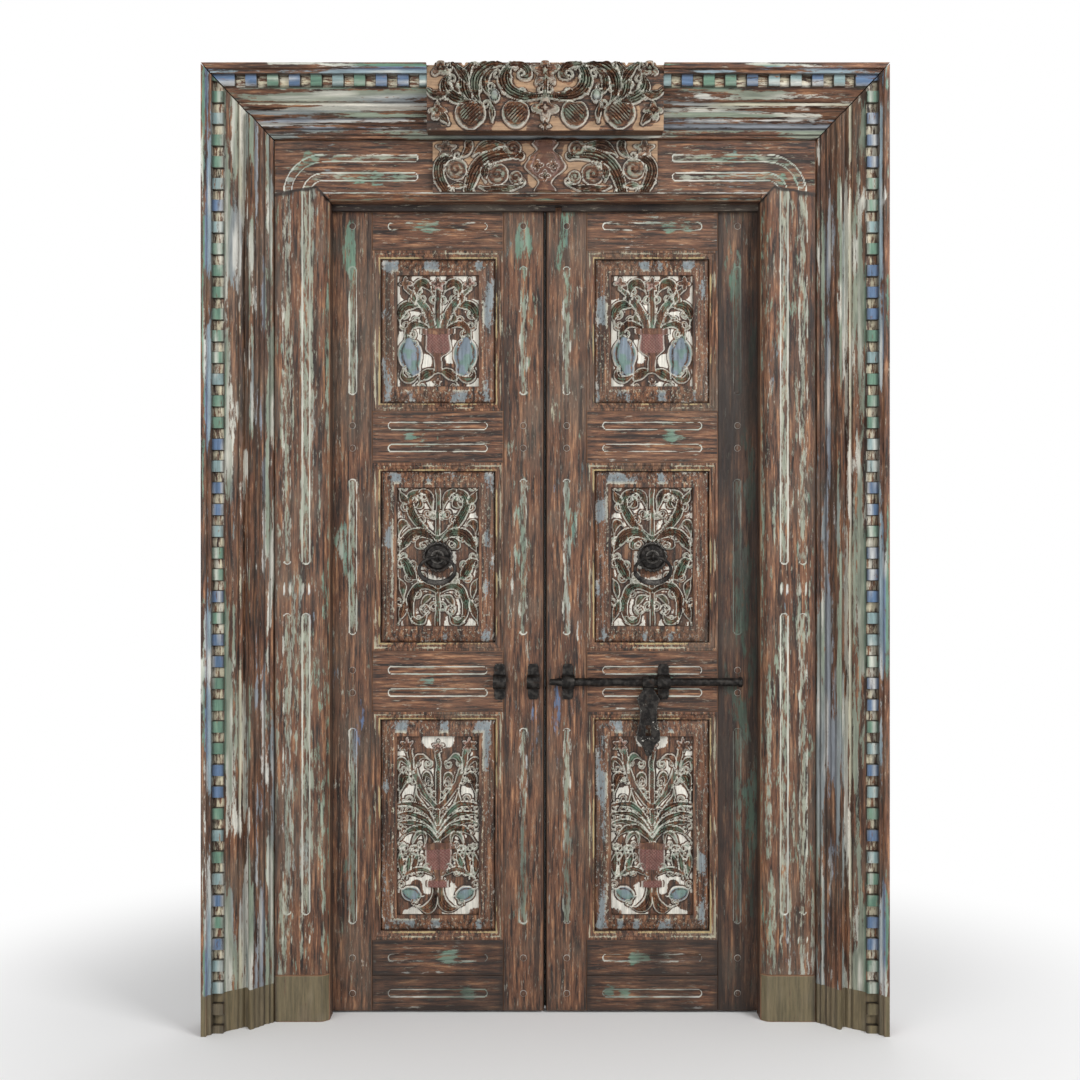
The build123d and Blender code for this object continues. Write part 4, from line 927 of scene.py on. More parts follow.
    def vessel(self, relief: Relief, paint: Paint) -> None:
        """Raise the pot by the distance from its middle over its half width; its bowl is cut to a lattice."""
        u, v = (np.array(c) for c in zip(*self.pot))
        share = eased(relief.up / self.height, v, u)
        edge = share * self.half
        far = relief.side / edge
        near = (far < 1.4) & (relief.up > v[0] * self.height - 2) & (relief.up < v[-1] * self.height + 2)
        bowl = (share > 0.24) & (share < 0.4)
        slants = (relief.side + relief.up, relief.side - relief.up)
        cuts = np.maximum(*(np.abs(np.cos(slant * 0.4)) for slant in slants))
        cuts = 0.7 * cuts ** 8 * bowl + ridge(far, 0.64, 0.07) * (share > 0.1) * ~bowl
        rise = np.clip(1 - far ** 2, 0.0, 1.0) ** 0.32 * (1 - 0.4 * cuts)
        relief.keep(near, rise[near], far[near], edge[near], Motif.POT, cuts[near])
        paint.lay(Coat.CRIMSON, np.where(relief.of(Motif.POT) & bowl, 0.78, 0.0))


S, L, P, T = Motif.STEM, Motif.LEAF, Motif.PLUME, Motif.TEAR

# Strokes as shares of the field's half width and height, with widths as shares of the half width.
UPPER_FIELD = Field(97.5, 265.0, (
    (S, ((0.0, 0.5), (0.0, 0.68), (0.0, 0.88)), (0.16, 0.14, 0.14)),
    (S, ((0.12, 0.5), (0.2, 0.72), (0.8, 0.89)), (0.16, 0.2, 0.1)),
    (L, ((0.12, 0.82), (0.25, 1.0), (0.66, 0.97), (0.5, 0.79)), (0.0, 0.2, 0.2, 0.0)),
    (P, ((0.4, 0.69), (0.7, 0.8), (1.02, 0.72), (0.92, 0.55)), (0.0, 0.22, 0.24, 0.0)),
    (L, ((0.27, 0.55), (0.45, 0.6), (0.4, 0.66)), (0.04, 0.16, 0.03)),
    (P, ((0.28, 0.53), (0.7, 0.62), (0.82, 0.5), (0.7, 0.38)), (0.1, 0.18, 0.16, 0.16)),
    (T, ((0.7, 0.41), (0.68, 0.3), (0.72, 0.14), (0.46, 0.07)), (0.3, 0.62, 0.42, 0.0)),
    (L, ((0.48, 0.1), (0.72, 0.02), (0.95, 0.06), (0.86, 0.15)), (0.06, 0.15, 0.12, 0.05)),
    (L, ((0.03, 0.13), (0.3, 0.14), (0.48, 0.02)), (0.1, 0.26, 0.0)),
    (L, ((0.55, 0.74), (0.62, 0.8), (0.6, 0.86)), (0.03, 0.12, 0.03)),
), ((0.0, 0.925, 0.2, 5), (0.79, 0.93, 0.18, 4), (0.0, 0.03, 0.1, 5)),
    ((0.1, 0.13), (0.1, 0.25), (0.33, 0.34), (0.3, 0.46), (0.43, 0.475), (0.43, 0.515)),
    5.0, 1.1, 10.0, 2, 1.0)

MIDDLE_FIELD = Field(97.5, 331.0, (
    (S, ((0.0, 0.6), (0.0, 0.8), (0.0, 0.995)), (0.13, 0.11, 0.13)),
    (S, ((0.0, 0.005), (0.0, 0.12), (0.0, 0.3)), (0.13, 0.11, 0.13)),
    (P, ((0.04, 0.64), (0.75, 0.76), (0.95, 1.0), (0.34, 0.97)), (0.12, 0.22, 0.2, 0.12)),
    (L, ((0.4, 0.98), (0.18, 0.98), (0.12, 0.82)), (0.12, 0.18, 0.02)),
    (L, ((0.56, 0.86), (0.34, 0.86), (0.46, 0.93)), (0.04, 0.14, 0.08)),
    (L, ((0.72, 0.89), (0.84, 0.9), (0.95, 0.985)), (0.04, 0.2, 0.03)),
    (L, ((0.64, 0.7), (0.96, 0.82), (0.95, 0.62)), (0.0, 0.2, 0.0)),
    (P, ((0.07, 0.6), (0.5, 0.78), (0.84, 0.62), (0.96, 0.52)), (0.12, 0.24, 0.26, 0.0)),
    (L, ((0.16, 0.62), (0.5, 0.66), (0.6, 0.56), (0.36, 0.56)), (0.05, 0.12, 0.12, 0.05)),
    (P, ((0.97, 0.48), (0.7, 0.5), (0.8, 0.36), (0.46, 0.33)), (0.0, 0.22, 0.26, 0.0)),
    (L, ((0.97, 0.34), (0.86, 0.3), (0.84, 0.18)), (0.03, 0.18, 0.03)),
    (P, ((0.05, 0.25), (0.56, 0.38), (0.84, 0.18), (0.6, 0.03)), (0.12, 0.2, 0.2, 0.12)),
    (L, ((0.62, 0.05), (0.4, -0.02), (0.24, 0.1)), (0.1, 0.16, 0.03)),
    (L, ((0.1, 0.21), (0.34, 0.22), (0.4, 0.12)), (0.04, 0.16, 0.03)),
    (L, ((0.78, 0.2), (0.86, 0.12), (0.97, 0.02)), (0.03, 0.2, 0.03)),
), (), (), 6.0, 1.05, 10.5, 3, 0.74)

LOWER_FIELD = Field(97.5, 427.0, (
    (S, ((0.0, 0.39), (0.0, 0.65), (0.0, 0.93)), (0.17, 0.13, 0.13)),
    (S, ((0.05, 0.6), (0.62, 0.74), (0.7, 0.93)), (0.12, 0.16, 0.14)),
    (L, ((0.6, 0.8), (0.56, 0.94), (0.2, 0.86)), (0.03, 0.16, 0.03)),
    (L, ((0.14, 0.74), (0.2, 0.82), (0.42, 0.8), (0.32, 0.73)), (0.03, 0.11, 0.11, 0.05)),
    (L, ((0.68, 0.79), (0.78, 0.9), (1.06, 0.9), (0.94, 0.81)), (0.04, 0.1, 0.1, 0.06)),
    (P, ((0.62, 0.75), (0.9, 0.84), (0.94, 0.63)), (0.0, 0.24, 0.0)),
    (L, ((0.12, 0.55), (0.56, 0.58), (0.52, 0.71)), (0.03, 0.2, 0.03)),
    (P, ((0.05, 0.49), (0.4, 0.66), (0.97, 0.615)), (0.07, 0.15, 0.08)),
    (P, ((0.05, 0.46), (0.4, 0.59), (0.97, 0.565)), (0.07, 0.14, 0.08)),
    (P, ((0.05, 0.44), (0.4, 0.54), (0.94, 0.515)), (0.06, 0.14, 0.08)),
    (P, ((0.05, 0.42), (0.5, 0.56), (0.96, 0.4)), (0.1, 0.2, 0.0)),
    (L, ((0.64, 0.39), (0.54, 0.49), (0.22, 0.47), (0.34, 0.39)), (0.04, 0.09, 0.09, 0.04)),
    (P, ((0.86, 0.2), (0.98, 0.28), (0.9, 0.37)), (0.03, 0.16, 0.03)),
    (P, ((0.76, 0.2), (0.74, 0.28), (0.68, 0.37)), (0.03, 0.16, 0.03)),
    (P, ((0.66, 0.22), (0.56, 0.28), (0.5, 0.36)), (0.03, 0.17, 0.03)),
    (S, ((0.08, 0.22), (0.5, 0.29), (0.9, 0.2)), (0.08, 0.13, 0.04)),
    (T, ((0.38, 0.1), (0.66, 0.1), (0.96, 0.15)), (0.0, 0.4, 0.0)),
    (L, ((0.07, 0.16), (0.04, -0.02), (0.6, 0.05)), (0.14, 0.26, 0.0)),
), ((0.0, 0.945, 0.16, 5), (0.77, 0.95, 0.2, 6)),
    ((0.27, 0.155), (0.27, 0.185), (0.1, 0.2), (0.34, 0.29), (0.33, 0.365), (0.47, 0.37), (0.47, 0.4)),
    7.0, 1.05, 9.0, 3, 0.84)

CREST_FIELD = Field(CREST_HALF, 156.0, (
    (S, ((0.0, 0.46), (0.0, 0.6), (0.0, 0.76)), (0.05, 0.04, 0.05)),
    (P, ((0.01, 0.5), (0.3, 0.4), (0.44, 0.72), (0.28, 0.97)), (0.05, 0.1, 0.12, 0.06)),
    (L, ((0.29, 0.95), (0.12, 1.0), (0.1, 0.72), (0.2, 0.76)), (0.05, 0.07, 0.06, 0.03)),
    (P, ((0.53, 0.36), (0.68, 0.66), (0.56, 1.04), (0.34, 0.95)), (0.02, 0.1, 0.12, 0.03)),
    (L, ((0.47, 0.5), (0.54, 0.66), (0.5, 0.86), (0.42, 0.88)), (0.02, 0.07, 0.06, 0.02)),
    (P, ((0.58, 0.38), (0.72, 0.5), (0.7, 0.8), (0.62, 0.96)), (0.02, 0.1, 0.1, 0.04)),
    (L, ((0.64, 0.62), (0.68, 0.84), (0.78, 0.96)), (0.02, 0.08, 0.04)),
    (P, ((0.6, 0.4), (0.78, 0.42), (0.9, 0.6), (0.82, 0.78)), (0.02, 0.1, 0.1, 0.03)),
    (L, ((0.99, 0.58), (0.92, 0.44), (0.8, 0.56)), (0.05, 0.08, 0.02)),
    (T, ((0.43, 0.38), (0.43, 0.5), (0.43, 0.62)), (0.0, 0.1, 0.0)),
    (L, ((0.82, 0.1), (0.86, 0.2), (0.9, 0.24)), (0.03, 0.07, 0.02)),
    (L, ((0.45, 0.12), (0.44, 0.26), (0.46, 0.38)), (0.02, 0.05, 0.02)),
), ((0.0, 0.86, 0.14, 5), (0.88, 0.9, 0.09, 3), (0.25, 0.25, 0.12, -1), (0.63, 0.25, 0.135, -1),
    (0.0, 0.31, 0.125, 4), (0.91, 0.28, 0.085, 4), (0.0, 0.06, 0.05, 4)), (),
    8.0, 1.05, 9.0, 3, 0.88, Coat.TAN, 0.46)

LINTEL_FIELD = Field(264.0, 120.0, (
    (P, ((0.22, 0.7), (0.52, 0.86), (0.64, 0.5), (0.68, 0.04)), (0.08, 0.14, 0.13, 0.1)),
    (L, ((0.64, 0.7), (0.54, 1.0), (0.34, 0.9)), (0.02, 0.11, 0.03)),
    (P, ((0.74, 0.62), (1.0, 0.8), (0.98, 0.3), (0.88, 0.03)), (0.0, 0.1, 0.11, 0.1)),
    (L, ((0.68, 0.94), (0.66, 0.8), (0.76, 0.66)), (0.08, 0.07, 0.02)),
    (L, ((0.58, 0.1), (0.42, -0.04), (0.2, 0.14)), (0.03, 0.09, 0.03)),
    (L, ((0.53, 0.2), (0.56, 0.4), (0.5, 0.56)), (0.02, 0.08, 0.02)),
    (L, ((0.7, 0.1), (0.78, 0.16), (0.84, 0.1)), (0.02, 0.07, 0.02)),
), ((0.285, 0.84, 0.075, 0), (0.88, 0.84, 0.1, 5), (0.42, 0.34, 0.1, 0), (0.26, 0.28, 0.06, 0),
    (0.79, 0.44, 0.1, 0), (0.07, 0.5, 0.055, 4), (0.0, 0.3, 0.05, 4)),
    ((0.1, 0.02), (0.06, 0.18), (0.19, 0.5), (0.15, 0.66), (0.08, 0.82), (0.12, 0.95), (0.1, 0.99)),
    9.0, 1.0, 8.0, 3, 1.0, Coat.TAN, 0.46)


# Section of the casing: share of its width from the inner edge, share of its projection.
CASING_SHARES = np.array((
    (0.0, -0.08), (0.02, 0.04), (0.06, 0.06), (0.065, 0.11), (0.135, 0.15), (0.14, 0.23), (0.19, 0.285),
    (0.2, 0.34), (0.25, 0.4), (0.26, 0.46), (0.305, 0.53), (0.335, 0.5), (0.375, 0.34), (0.415, 0.32),
    (0.455, 0.4), (0.495, 0.42), (0.505, 0.46), (0.6, 0.55), (0.685, 0.665), (0.69, 0.78), (0.855, 0.78),
    (0.86, 0.875), (0.915, 0.895), (0.92, 1.0), (1.0, 1.0),
))


# The coats on that section: coat, from and to as shares of the width, and cover.
CASING_BANDS = (
    (Coat.GREEN, 0.0, 0.13, 0.56), (Coat.DEEP_GREEN, 0.02, 0.065, 0.6), (Coat.BLUE, 0.13, 0.2, 0.58),
    (Coat.BLUE, 0.2, 0.26, 0.54), (Coat.GREEN, 0.26, 0.345, 0.6), (Coat.PALE_BLUE, 0.345, 0.41, 0.54),
    (Coat.WHITE, 0.41, 0.455, 0.64), (Coat.CREAM, 0.455, 0.505, 0.74), (Coat.GREEN, 0.505, 0.69, 0.62),
    (Coat.DEEP_GREEN, 0.53, 0.67, 0.46), (Coat.PALE_BLUE, 0.857, 0.92, 0.64), (Coat.BLUE, 0.915, 0.94, 0.5),
    (Coat.GREEN, 0.93, 1.0, 0.54),
)
CASING_QUIRKS = (0.0625, 0.1375, 0.195, 0.255, 0.395, 0.5, 0.6875, 0.8575)
CASING_ARRISES = (0.3, 0.49, 0.685, 0.92, 0.99)


@dataclass
class Casing:
    """The moulded casing with its dentils: a section carried along the sides and over the top."""

    width: float = 150.0
    proud: float = 105.0
    seat: float = 17.75
    foot: float = 92.0
    pitch: float = 50.0
    gap: float = 24.0
    first: float = 18.0
    mitre_gap: float = 3.0
    band: tuple[float, float] = (0.687, 0.857)
    band_foot: float = 0.665
    rows: int = 44

    def across_lines(self) -> Array:
        """Lines across the section: each corner, and one or two between."""
        corners = CASING_SHARES[:, 0]
        wide = [(a, b) for a, b in zip(corners, corners[1:]) if b - a > 0.02]
        between = [np.linspace(a, b, 4)[1:-1] for a, b in wide]
        return np.unique(np.concatenate((corners, *between))) * self.width

    def along_lines(self, start: float, end: float, starts: Array) -> Array:
        """Lines along a run: both edges of each dentil, doubled for its walls, and a few between."""
        edges = np.concatenate((starts, starts + self.gap))
        middles = (starts + self.gap / 2, starts + (self.gap + self.pitch) / 2)
        walls = [edges + step for step in (-0.5, 0.5, -2.4, 2.4)]
        lines = np.concatenate((*walls, *middles, [start, end], np.arange(start, end, 60.0)))
        lines = np.unique(np.round(lines, 2))
        return lines[(lines >= start) & (lines <= end)]

    def relief(self, across: Array, along: Array, starts: Array, seed: float) -> tuple[Array, Paint]:
        """How far each point stands in front of the jamb, and what is painted there.

        The section is read at its share of the width; between dentils it drops to the band's foot.

        Args:
            across: distance from the inner edge.
            along: distance along the run.
            starts: where each gap between dentils begins.
            seed: which noise.

        Returns:
            Projections in millimetres, and the paint.
        """
        share = across / self.width
        stand = np.interp(share, CASING_SHARES[:, 0], CASING_SHARES[:, 1]) * self.proud
        number = np.clip(np.searchsorted(starts, along, side="right") - 1, 0, len(starts) - 1)
        past = along - starts[number]
        toothed = (share > self.band[0]) & (share < self.band[1])
        hollow = (past > 0) & (past < self.gap) & toothed
        stand = np.where(hollow, self.band_foot * self.proud, stand)
        paint = Paint(across.shape)
        streak = mottle(across, along, 7, 130, seed)
        broad = mottle(across, along, 60, 230, seed + 3)
        strong = 0.62 + 0.46 * smooth(0.5 * streak + 0.5 * broad, 0.3, 0.7)
        for coat, low, high, cover in CASING_BANDS:
            inside = smooth(share, low - 0.006, low + 0.006) * (1 - smooth(share, high - 0.006, high + 0.006))
            paint.lay(coat, cover * strong * inside)
        tint = lattice(number.astype(float), np.floor(seed) + 0.0 * number, 4.0)
        block = toothed & ~hollow
        paint.lay(Coat.GREEN, np.where(block, 0.6, 0.0))
        paint.lay(Coat.BLUE, np.where(block & (tint > 0.62), 0.58, 0.0))
        paint.lay(Coat.PALE_BLUE, np.where(block & (tint < 0.2), 0.54, 0.0))
        paint.lay(Coat.CREAM, np.where(hollow, 0.52, 0.0))
        blue = smooth(mottle(across, along, 40, 300, seed + 17), 0.6, 0.85)
        paint.lay(Coat.BLUE, 0.6 * blue * (share < 0.68) * strong)
        paint.lay(Coat.ASH, 0.46 * strong * (share < 0.68))
        paint.lay(Coat.WHITE, 0.56 * smooth(mottle(across, along, 7, 120, seed + 19), 0.58, 0.9))
        # Painted shade: the gaps between dentils darken along their walls, beside and under the blocks.
        wall = np.minimum(np.abs(past), np.abs(past - self.gap))
        paint.grime_and_shade += np.where(hollow, 0.9 * (1 - smooth(wall, 0.4, 2.6)), 0.0)
        quirks = sum(ridge(share, s, 0.008) for s in CASING_QUIRKS)
        paint.grime_and_shade += 0.55 * np.clip(quirks, 0, 1) + 0.35 * smooth(-share, -0.05, 0.0)
        arris = sum(ridge(share, s, 0.012) for s in CASING_ARRISES)
        paint.wear += 0.7 * np.clip(arris, 0, 1)
        return stand, paint

    def side(self, low: float, high: float, bare: float, seed: float) -> Surface:
        """The right side casing, its head cut to the mitre, whose crack closes towards the back.

        Args:
            low, high: where the run begins and ends.
            bare: how much of the paint is gone.
            seed: which noise.

        Returns:
            The surface.
        """
        starts = self.first + self.pitch * np.arange(self.rows)
        across, z = np.meshgrid(self.across_lines(), self.along_lines(low, high, starts))
        z = np.minimum(z, LINTEL_TOP_Z + across - self.mitre_gap)
        stand, paint = self.relief(across, z, starts, seed)
        self.strip(paint, bare)
        worn = 1.2 * mottle(across, z, 8, 70, seed + 2)
        surface = slab(JAMB_OUTER_X + across, z, JAMB_FRONT_Y - stand + worn, self.seat, paint)
        x, y, height = surface.points.T
        cut = LINTEL_TOP_Z + x - JAMB_OUTER_X - self.mitre_gap
        head = (y > self.seat - 0.01) & (height > cut - 0.01)
        surface.points[head, 2] += self.mitre_gap - HAIR
        return surface

    def strip(self, paint: Paint, bare: float) -> None:
        """Take paint off, and leave weathered wood in its place."""
        paint.coat[..., 3] *= 1 - bare
        if bare > 0.5:
            paint.lay(Coat.BARE, 0.72 * np.ones(paint.wear.shape))

    def top(self) -> Surface:
        """The top casing, cut to both mitres and housed in the middle for the crest."""
        begin = CREST_HALF + self.first
        right = begin + self.pitch * np.arange(int((JAMB_OUTER_X + 0.69 * self.width - begin) / self.pitch))
        starts = np.sort(np.concatenate((right, -right - self.gap)))
        lines = self.along_lines(-CASING_OUTER_X, CASING_OUTER_X, starts)
        housing = [side * (CREST_HALF + step) for side in (-1, 1) for step in (-0.3, 0.3)]
        x, across = np.meshgrid(np.unique(np.concatenate((lines, housing))), self.across_lines())
        end = JAMB_OUTER_X + across
        x = np.clip(x, -end, end)
        stand, paint = self.relief(across, x, starts, 31.0)
        stand = np.where(np.abs(x) < CREST_HALF, np.minimum(stand, self.proud - CREST_DEPTH), stand)
        worn = 1.2 * mottle(x, across, 70, 8, 33.0) * (np.abs(x) > CREST_HALF)
        return slab(x, LINTEL_TOP_Z + across, JAMB_FRONT_Y - stand + worn, self.seat, paint)


@dataclass
class DoorFrame:
    """Jambs, lintel, casing, carved blocks and head stop."""

    finishes: Finishes
    jamb_foot: float = 110.0
    chamfer: float = 16.0
    stop: float = 14.0
    marks: tuple[float, float] = (195.0, 1020.0)
    mark_radius: float = 11.0
    bends: tuple[float, float] = (85.0, 41.0)
    bend_middle: tuple[float, float] = (522.0, 1949.0)
    bent_start: float = 308.0

    def chamfered(self, depth: Array, edge: Array, paint: Paint) -> Array:
        """Slope the arris beside the opening back at 45 degrees, paint its upper edge white."""
        paint.lay(Coat.WHITE, 0.6 * ridge(edge, self.chamfer, 2.2))
        paint.lay(Coat.GREEN, 0.5 * smooth(-edge, -self.chamfer, -2.0))
        return depth + np.clip(self.chamfer - edge, 0.0, self.chamfer)

    def jamb(self, low: float, high: float, flutes: Sequence[Flute], seed: float) -> Surface:
        """The right jamb or its spliced foot, its head cut to the lintel's shoulder.

        Args:
            low, high: where it begins and ends; the foot begins at the floor and is bare.
            flutes: the flutes in it.
            seed: which noise.

        Returns:
            The surface.
        """
        reach = (OPENING_X, JAMB_OUTER_X)
        board = Board(reach, (low, high), JAMB_FRONT_Y, JAMB_BACK_Y, flutes, seed, True, 0.33)
        x, z = board.lines()
        step = int(np.argmin(np.abs(x[0] - OPENING_X - self.stop)))
        x[:, step], x[:, step + 1] = OPENING_X + self.stop - HAIR, OPENING_X + self.stop
        rise = np.interp(x, SHOULDER_X, SHOULDER_Z)
        z = np.minimum(z, rise)
        depth, paint = board.sunk(x, z)
        depth = self.chamfered(depth, x - OPENING_X, paint)
        if low > 0:
            for mark in self.marks:
                for middle in JAMB_FLUTES_X:
                    away = np.hypot(x - middle, z - mark) - self.mark_radius
                    depth = depth + 1.5 * smooth(-away, 0.0, 3.0)
                    paint.lay(Coat.WHITE, 0.8 * ridge(away, -1.5, 2.4))
            paint.lay(Coat.ASH, 0.52 * smooth(mottle(x, z, 9, 240, seed + 51), 0.35, 0.75))
            inner = smooth(x, OPENING_X + 30, OPENING_X + 16)
            paint.lay(Coat.GREEN, 0.5 * inner * mottle(x, z, 18, 200, seed + 53))
        else:
            paint.coat[..., 3] *= 0.3
            paint.lay(Coat.BARE, 0.62 * np.ones(x.shape))
        paint.grime_and_shade += 0.5 * smooth(x, JAMB_OUTER_X - 14, JAMB_OUTER_X) + 1.2 * smooth(z - rise, -4.5, -0.5)
        return self.rebated(slab(x, z, JAMB_FRONT_Y + depth, JAMB_BACK_Y, paint), x.shape, step)

    def rebated(self, board: Surface, shape: tuple[int, int], step: int) -> Surface:
        """Step a jamb's back forward to the stop beside the opening, where the leaf closes.

        Args:
            board: the jamb with a flat back, whose one ring runs round it from the foot beside the opening.
            shape: its grid's rows and columns.
            step: the last column of the stop.

        Returns:
            The same surface, its back now a stop, a riser and the rest.
        """
        rows, columns = shape
        ring = board.rings[0][::-1]
        over = 2 * columns + rows - 3 - step
        stop = np.concatenate((ring[:step + 1], ring[over:]))
        board.points[stop, 1] = STOP_Y
        riser = ring[[step, step + 1, over - 1, over]]
        board.rings = [part[::-1] for part in (stop, riser, ring[step + 1:over])]
        return board

    def lintel(self) -> Surface:
        """The lintel, its foot cut to the jambs' shoulders, with two bent flutes at each end."""
        turn = np.linspace(np.pi / 2, 0.0, 9)
        mx, mz = self.bend_middle
        flutes = []
        for radius in self.bends:
            bend = [(mx + radius * math.cos(t), mz + radius * math.sin(t)) for t in turn]
            flutes.append(Flute(((self.bent_start, mz + radius), *bend)))
        reach, height = (-JAMB_OUTER_X, JAMB_OUTER_X), (SOFFIT_Z, LINTEL_TOP_Z)
        board = Board(reach, height, JAMB_FRONT_Y, JAMB_BACK_Y, (), 61.0, False, 0.3)
        xs = grid_lines(-JAMB_OUTER_X, JAMB_OUTER_X, 9.0, (-430.0, 430.0), 200.0, 2.6)
        x, z = np.meshgrid(xs, grid_lines(SOFFIT_Z, LINTEL_TOP_Z, 2.6, (), 1.0, 1.0))
        side = np.abs(x)
        fall = np.interp(side, SHOULDER_X, SHOULDER_Z)
        z = np.maximum(z, fall)
        depth, paint = board.sunk(x, z)
        for flute in flutes:
            away = flute.away(side, z)
            depth += flute.depth(away)
            paint.lay(Coat.ASH, 0.5 * smooth(-away, 1.0, 4.0))
            paint.lay(Coat.WHITE, 0.78 * flute.line(away))
        sloped = self.chamfered(depth, z - SOFFIT_Z, paint)
        depth = np.where(side < OPENING_X, sloped, depth)
        paint.grime_and_shade += 0.5 * smooth(z, LINTEL_TOP_Z - 12, LINTEL_TOP_Z)
        paint.grime_and_shade += np.where(side > OPENING_X, 1.2 * smooth(fall - z, -4.0, -0.5), 0.0)
        for i, (mx, mz) in enumerate(((-560.0, 2030.0), (-400.0, 1985.0), (430.0, 2035.0), (560.0, 1990.0))):
            paint.lay(Coat.GREEN, 0.52 * patch(x, z, (mx, mz), (80.0, 40.0), 63.0 + i))
        return slab(x, z, JAMB_FRONT_Y + depth, JAMB_BACK_Y, paint)

    def carved(self, field: Field, heights: tuple[float, float, float], ground: float, rise: float,
               back: float) -> Surface:
        """A carved block: its field's relief stands in front of its ground, its top edge follows the carving.

        Args:
            field: what is carved on it.
            heights: its foot, its top, and how high the carving's tips reach.
            ground: the ground's Y.
            rise: how far the carving stands in front of the ground.
            back: the back's Y.

        Returns:
            The surface.
        """
        foot, top, crown = heights
        xs = np.linspace(-field.half, field.half, int(field.half * 2 / CARVING_STEP))
        zs = np.linspace(foot, top, int((top - foot) / CARVING_STEP))
        if crown > top:
            zs = np.concatenate((zs, np.linspace(top, crown, 5)[1:]))
        x, z = np.meshgrid(xs, zs)
        paint = Paint(x.shape)
        high = field.carve(x, z - foot, paint)
        if crown > top:
            tall = np.max(high[-9:], axis=0)
            z = np.minimum(z, top + (crown - top) * smooth(tall, 0.15, 0.6))
        front = ground - rise * high + 1.2 * mottle(x, z, 6, 6, field.seed + 2)
        return slab(x, z, front, back, paint)

    def build(self) -> None:
        """Add every piece of the frame."""
        f = self.finishes
        runs = ((1087.0, 2000.0), (262.0, 953.0))
        flutes = [Flute(((x, low), (x, high))) for low, high in runs for x in JAMB_FLUTES_X]
        casing = Casing()
        sides = {
            "jamb": ("frame_wood", lambda s: self.jamb(self.jamb_foot, SOFFIT_Z + 30.0, flutes, s)),
            "jamb_foot": ("frame_wood", lambda s: self.jamb(0.0, self.jamb_foot, (), s + 2)),
            "casing": ("casing_wood", lambda s: casing.side(casing.foot, CASING_TOP_Z, 0.0, s + 4)),
            "casing_foot": ("casing_wood", lambda s: casing.side(0.0, casing.foot, 0.7, s + 6)),
        }
        for name, (slot, shape) in sides.items():
            for side, seed in (("right", 41.0), ("left", 87.0)):
                add_handed(side, name, "wood", "frame", shape(seed), f.upright)
        add_piece("lintel_wood", "frame", self.lintel(), f.level, ["lintel"])
        add_piece("top_casing_wood", "frame", casing.top(), f.level, ["top_casing"])
        crest = (LINTEL_TOP_Z, CASING_TOP_Z, CREST_TOP_Z), FRONT_Y + 20.0, 18.5, FRONT_Y + CREST_DEPTH
        head = LINTEL_TOP_Z - 4.0
        block = (SOFFIT_Z + self.chamfer, head, head), JAMB_FRONT_Y - 8.0, 12.0, JAMB_FRONT_Y
        for name, field, sizes in (("crest", CREST_FIELD, crest), ("lintel", LINTEL_FIELD, block)):
            add_piece(f"{name}_carved_wood", "frame", self.carved(field, *sizes), f.carved_level,
                      [f"{name}_carving"], CARVED_SHARP)
        # The head stop wears the near-black shaded wood as painted shadow under the lintel.
        for node in ("head_stop", "left_frame_hinges", "right_frame_hinges"):
            dress(node, f.shaded if node == "head_stop" else f.iron)


def dress(node: str, finish: bpy.types.Material) -> None:
    """Give a solid that keeps its own shape a better finish."""
    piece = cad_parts[node]
    piece.data.materials.clear()
    piece.data.materials.append(finish)
    LOG.info("%s: dressed with %s", node, finish.name)


# Section of the panels' moulding: distance in from the opening's edge, and depth behind the leaf's front.
MOULDING_SECTION = np.array((
    (0.0, 20.0), (0.0, 1.6), (1.4, 1.0), (4.6, 1.0), (6.0, 1.8), (7.4, 4.4), (10.0, 5.0), (13.5, 6.4),
    (16.0, 9.0), (17.2, 9.0), (19.4, 10.4), (20.0, 12.0), (20.0, 20.0),
))

# Section of a peg's head: radius, and distance behind the leaf's front.
PEG_SECTION = np.array(((8.0, 0.2), (7.6, -0.7), (6.2, -1.6), (4.0, -2.1), (0.05, -2.3)))
PEG_STEPS = 14


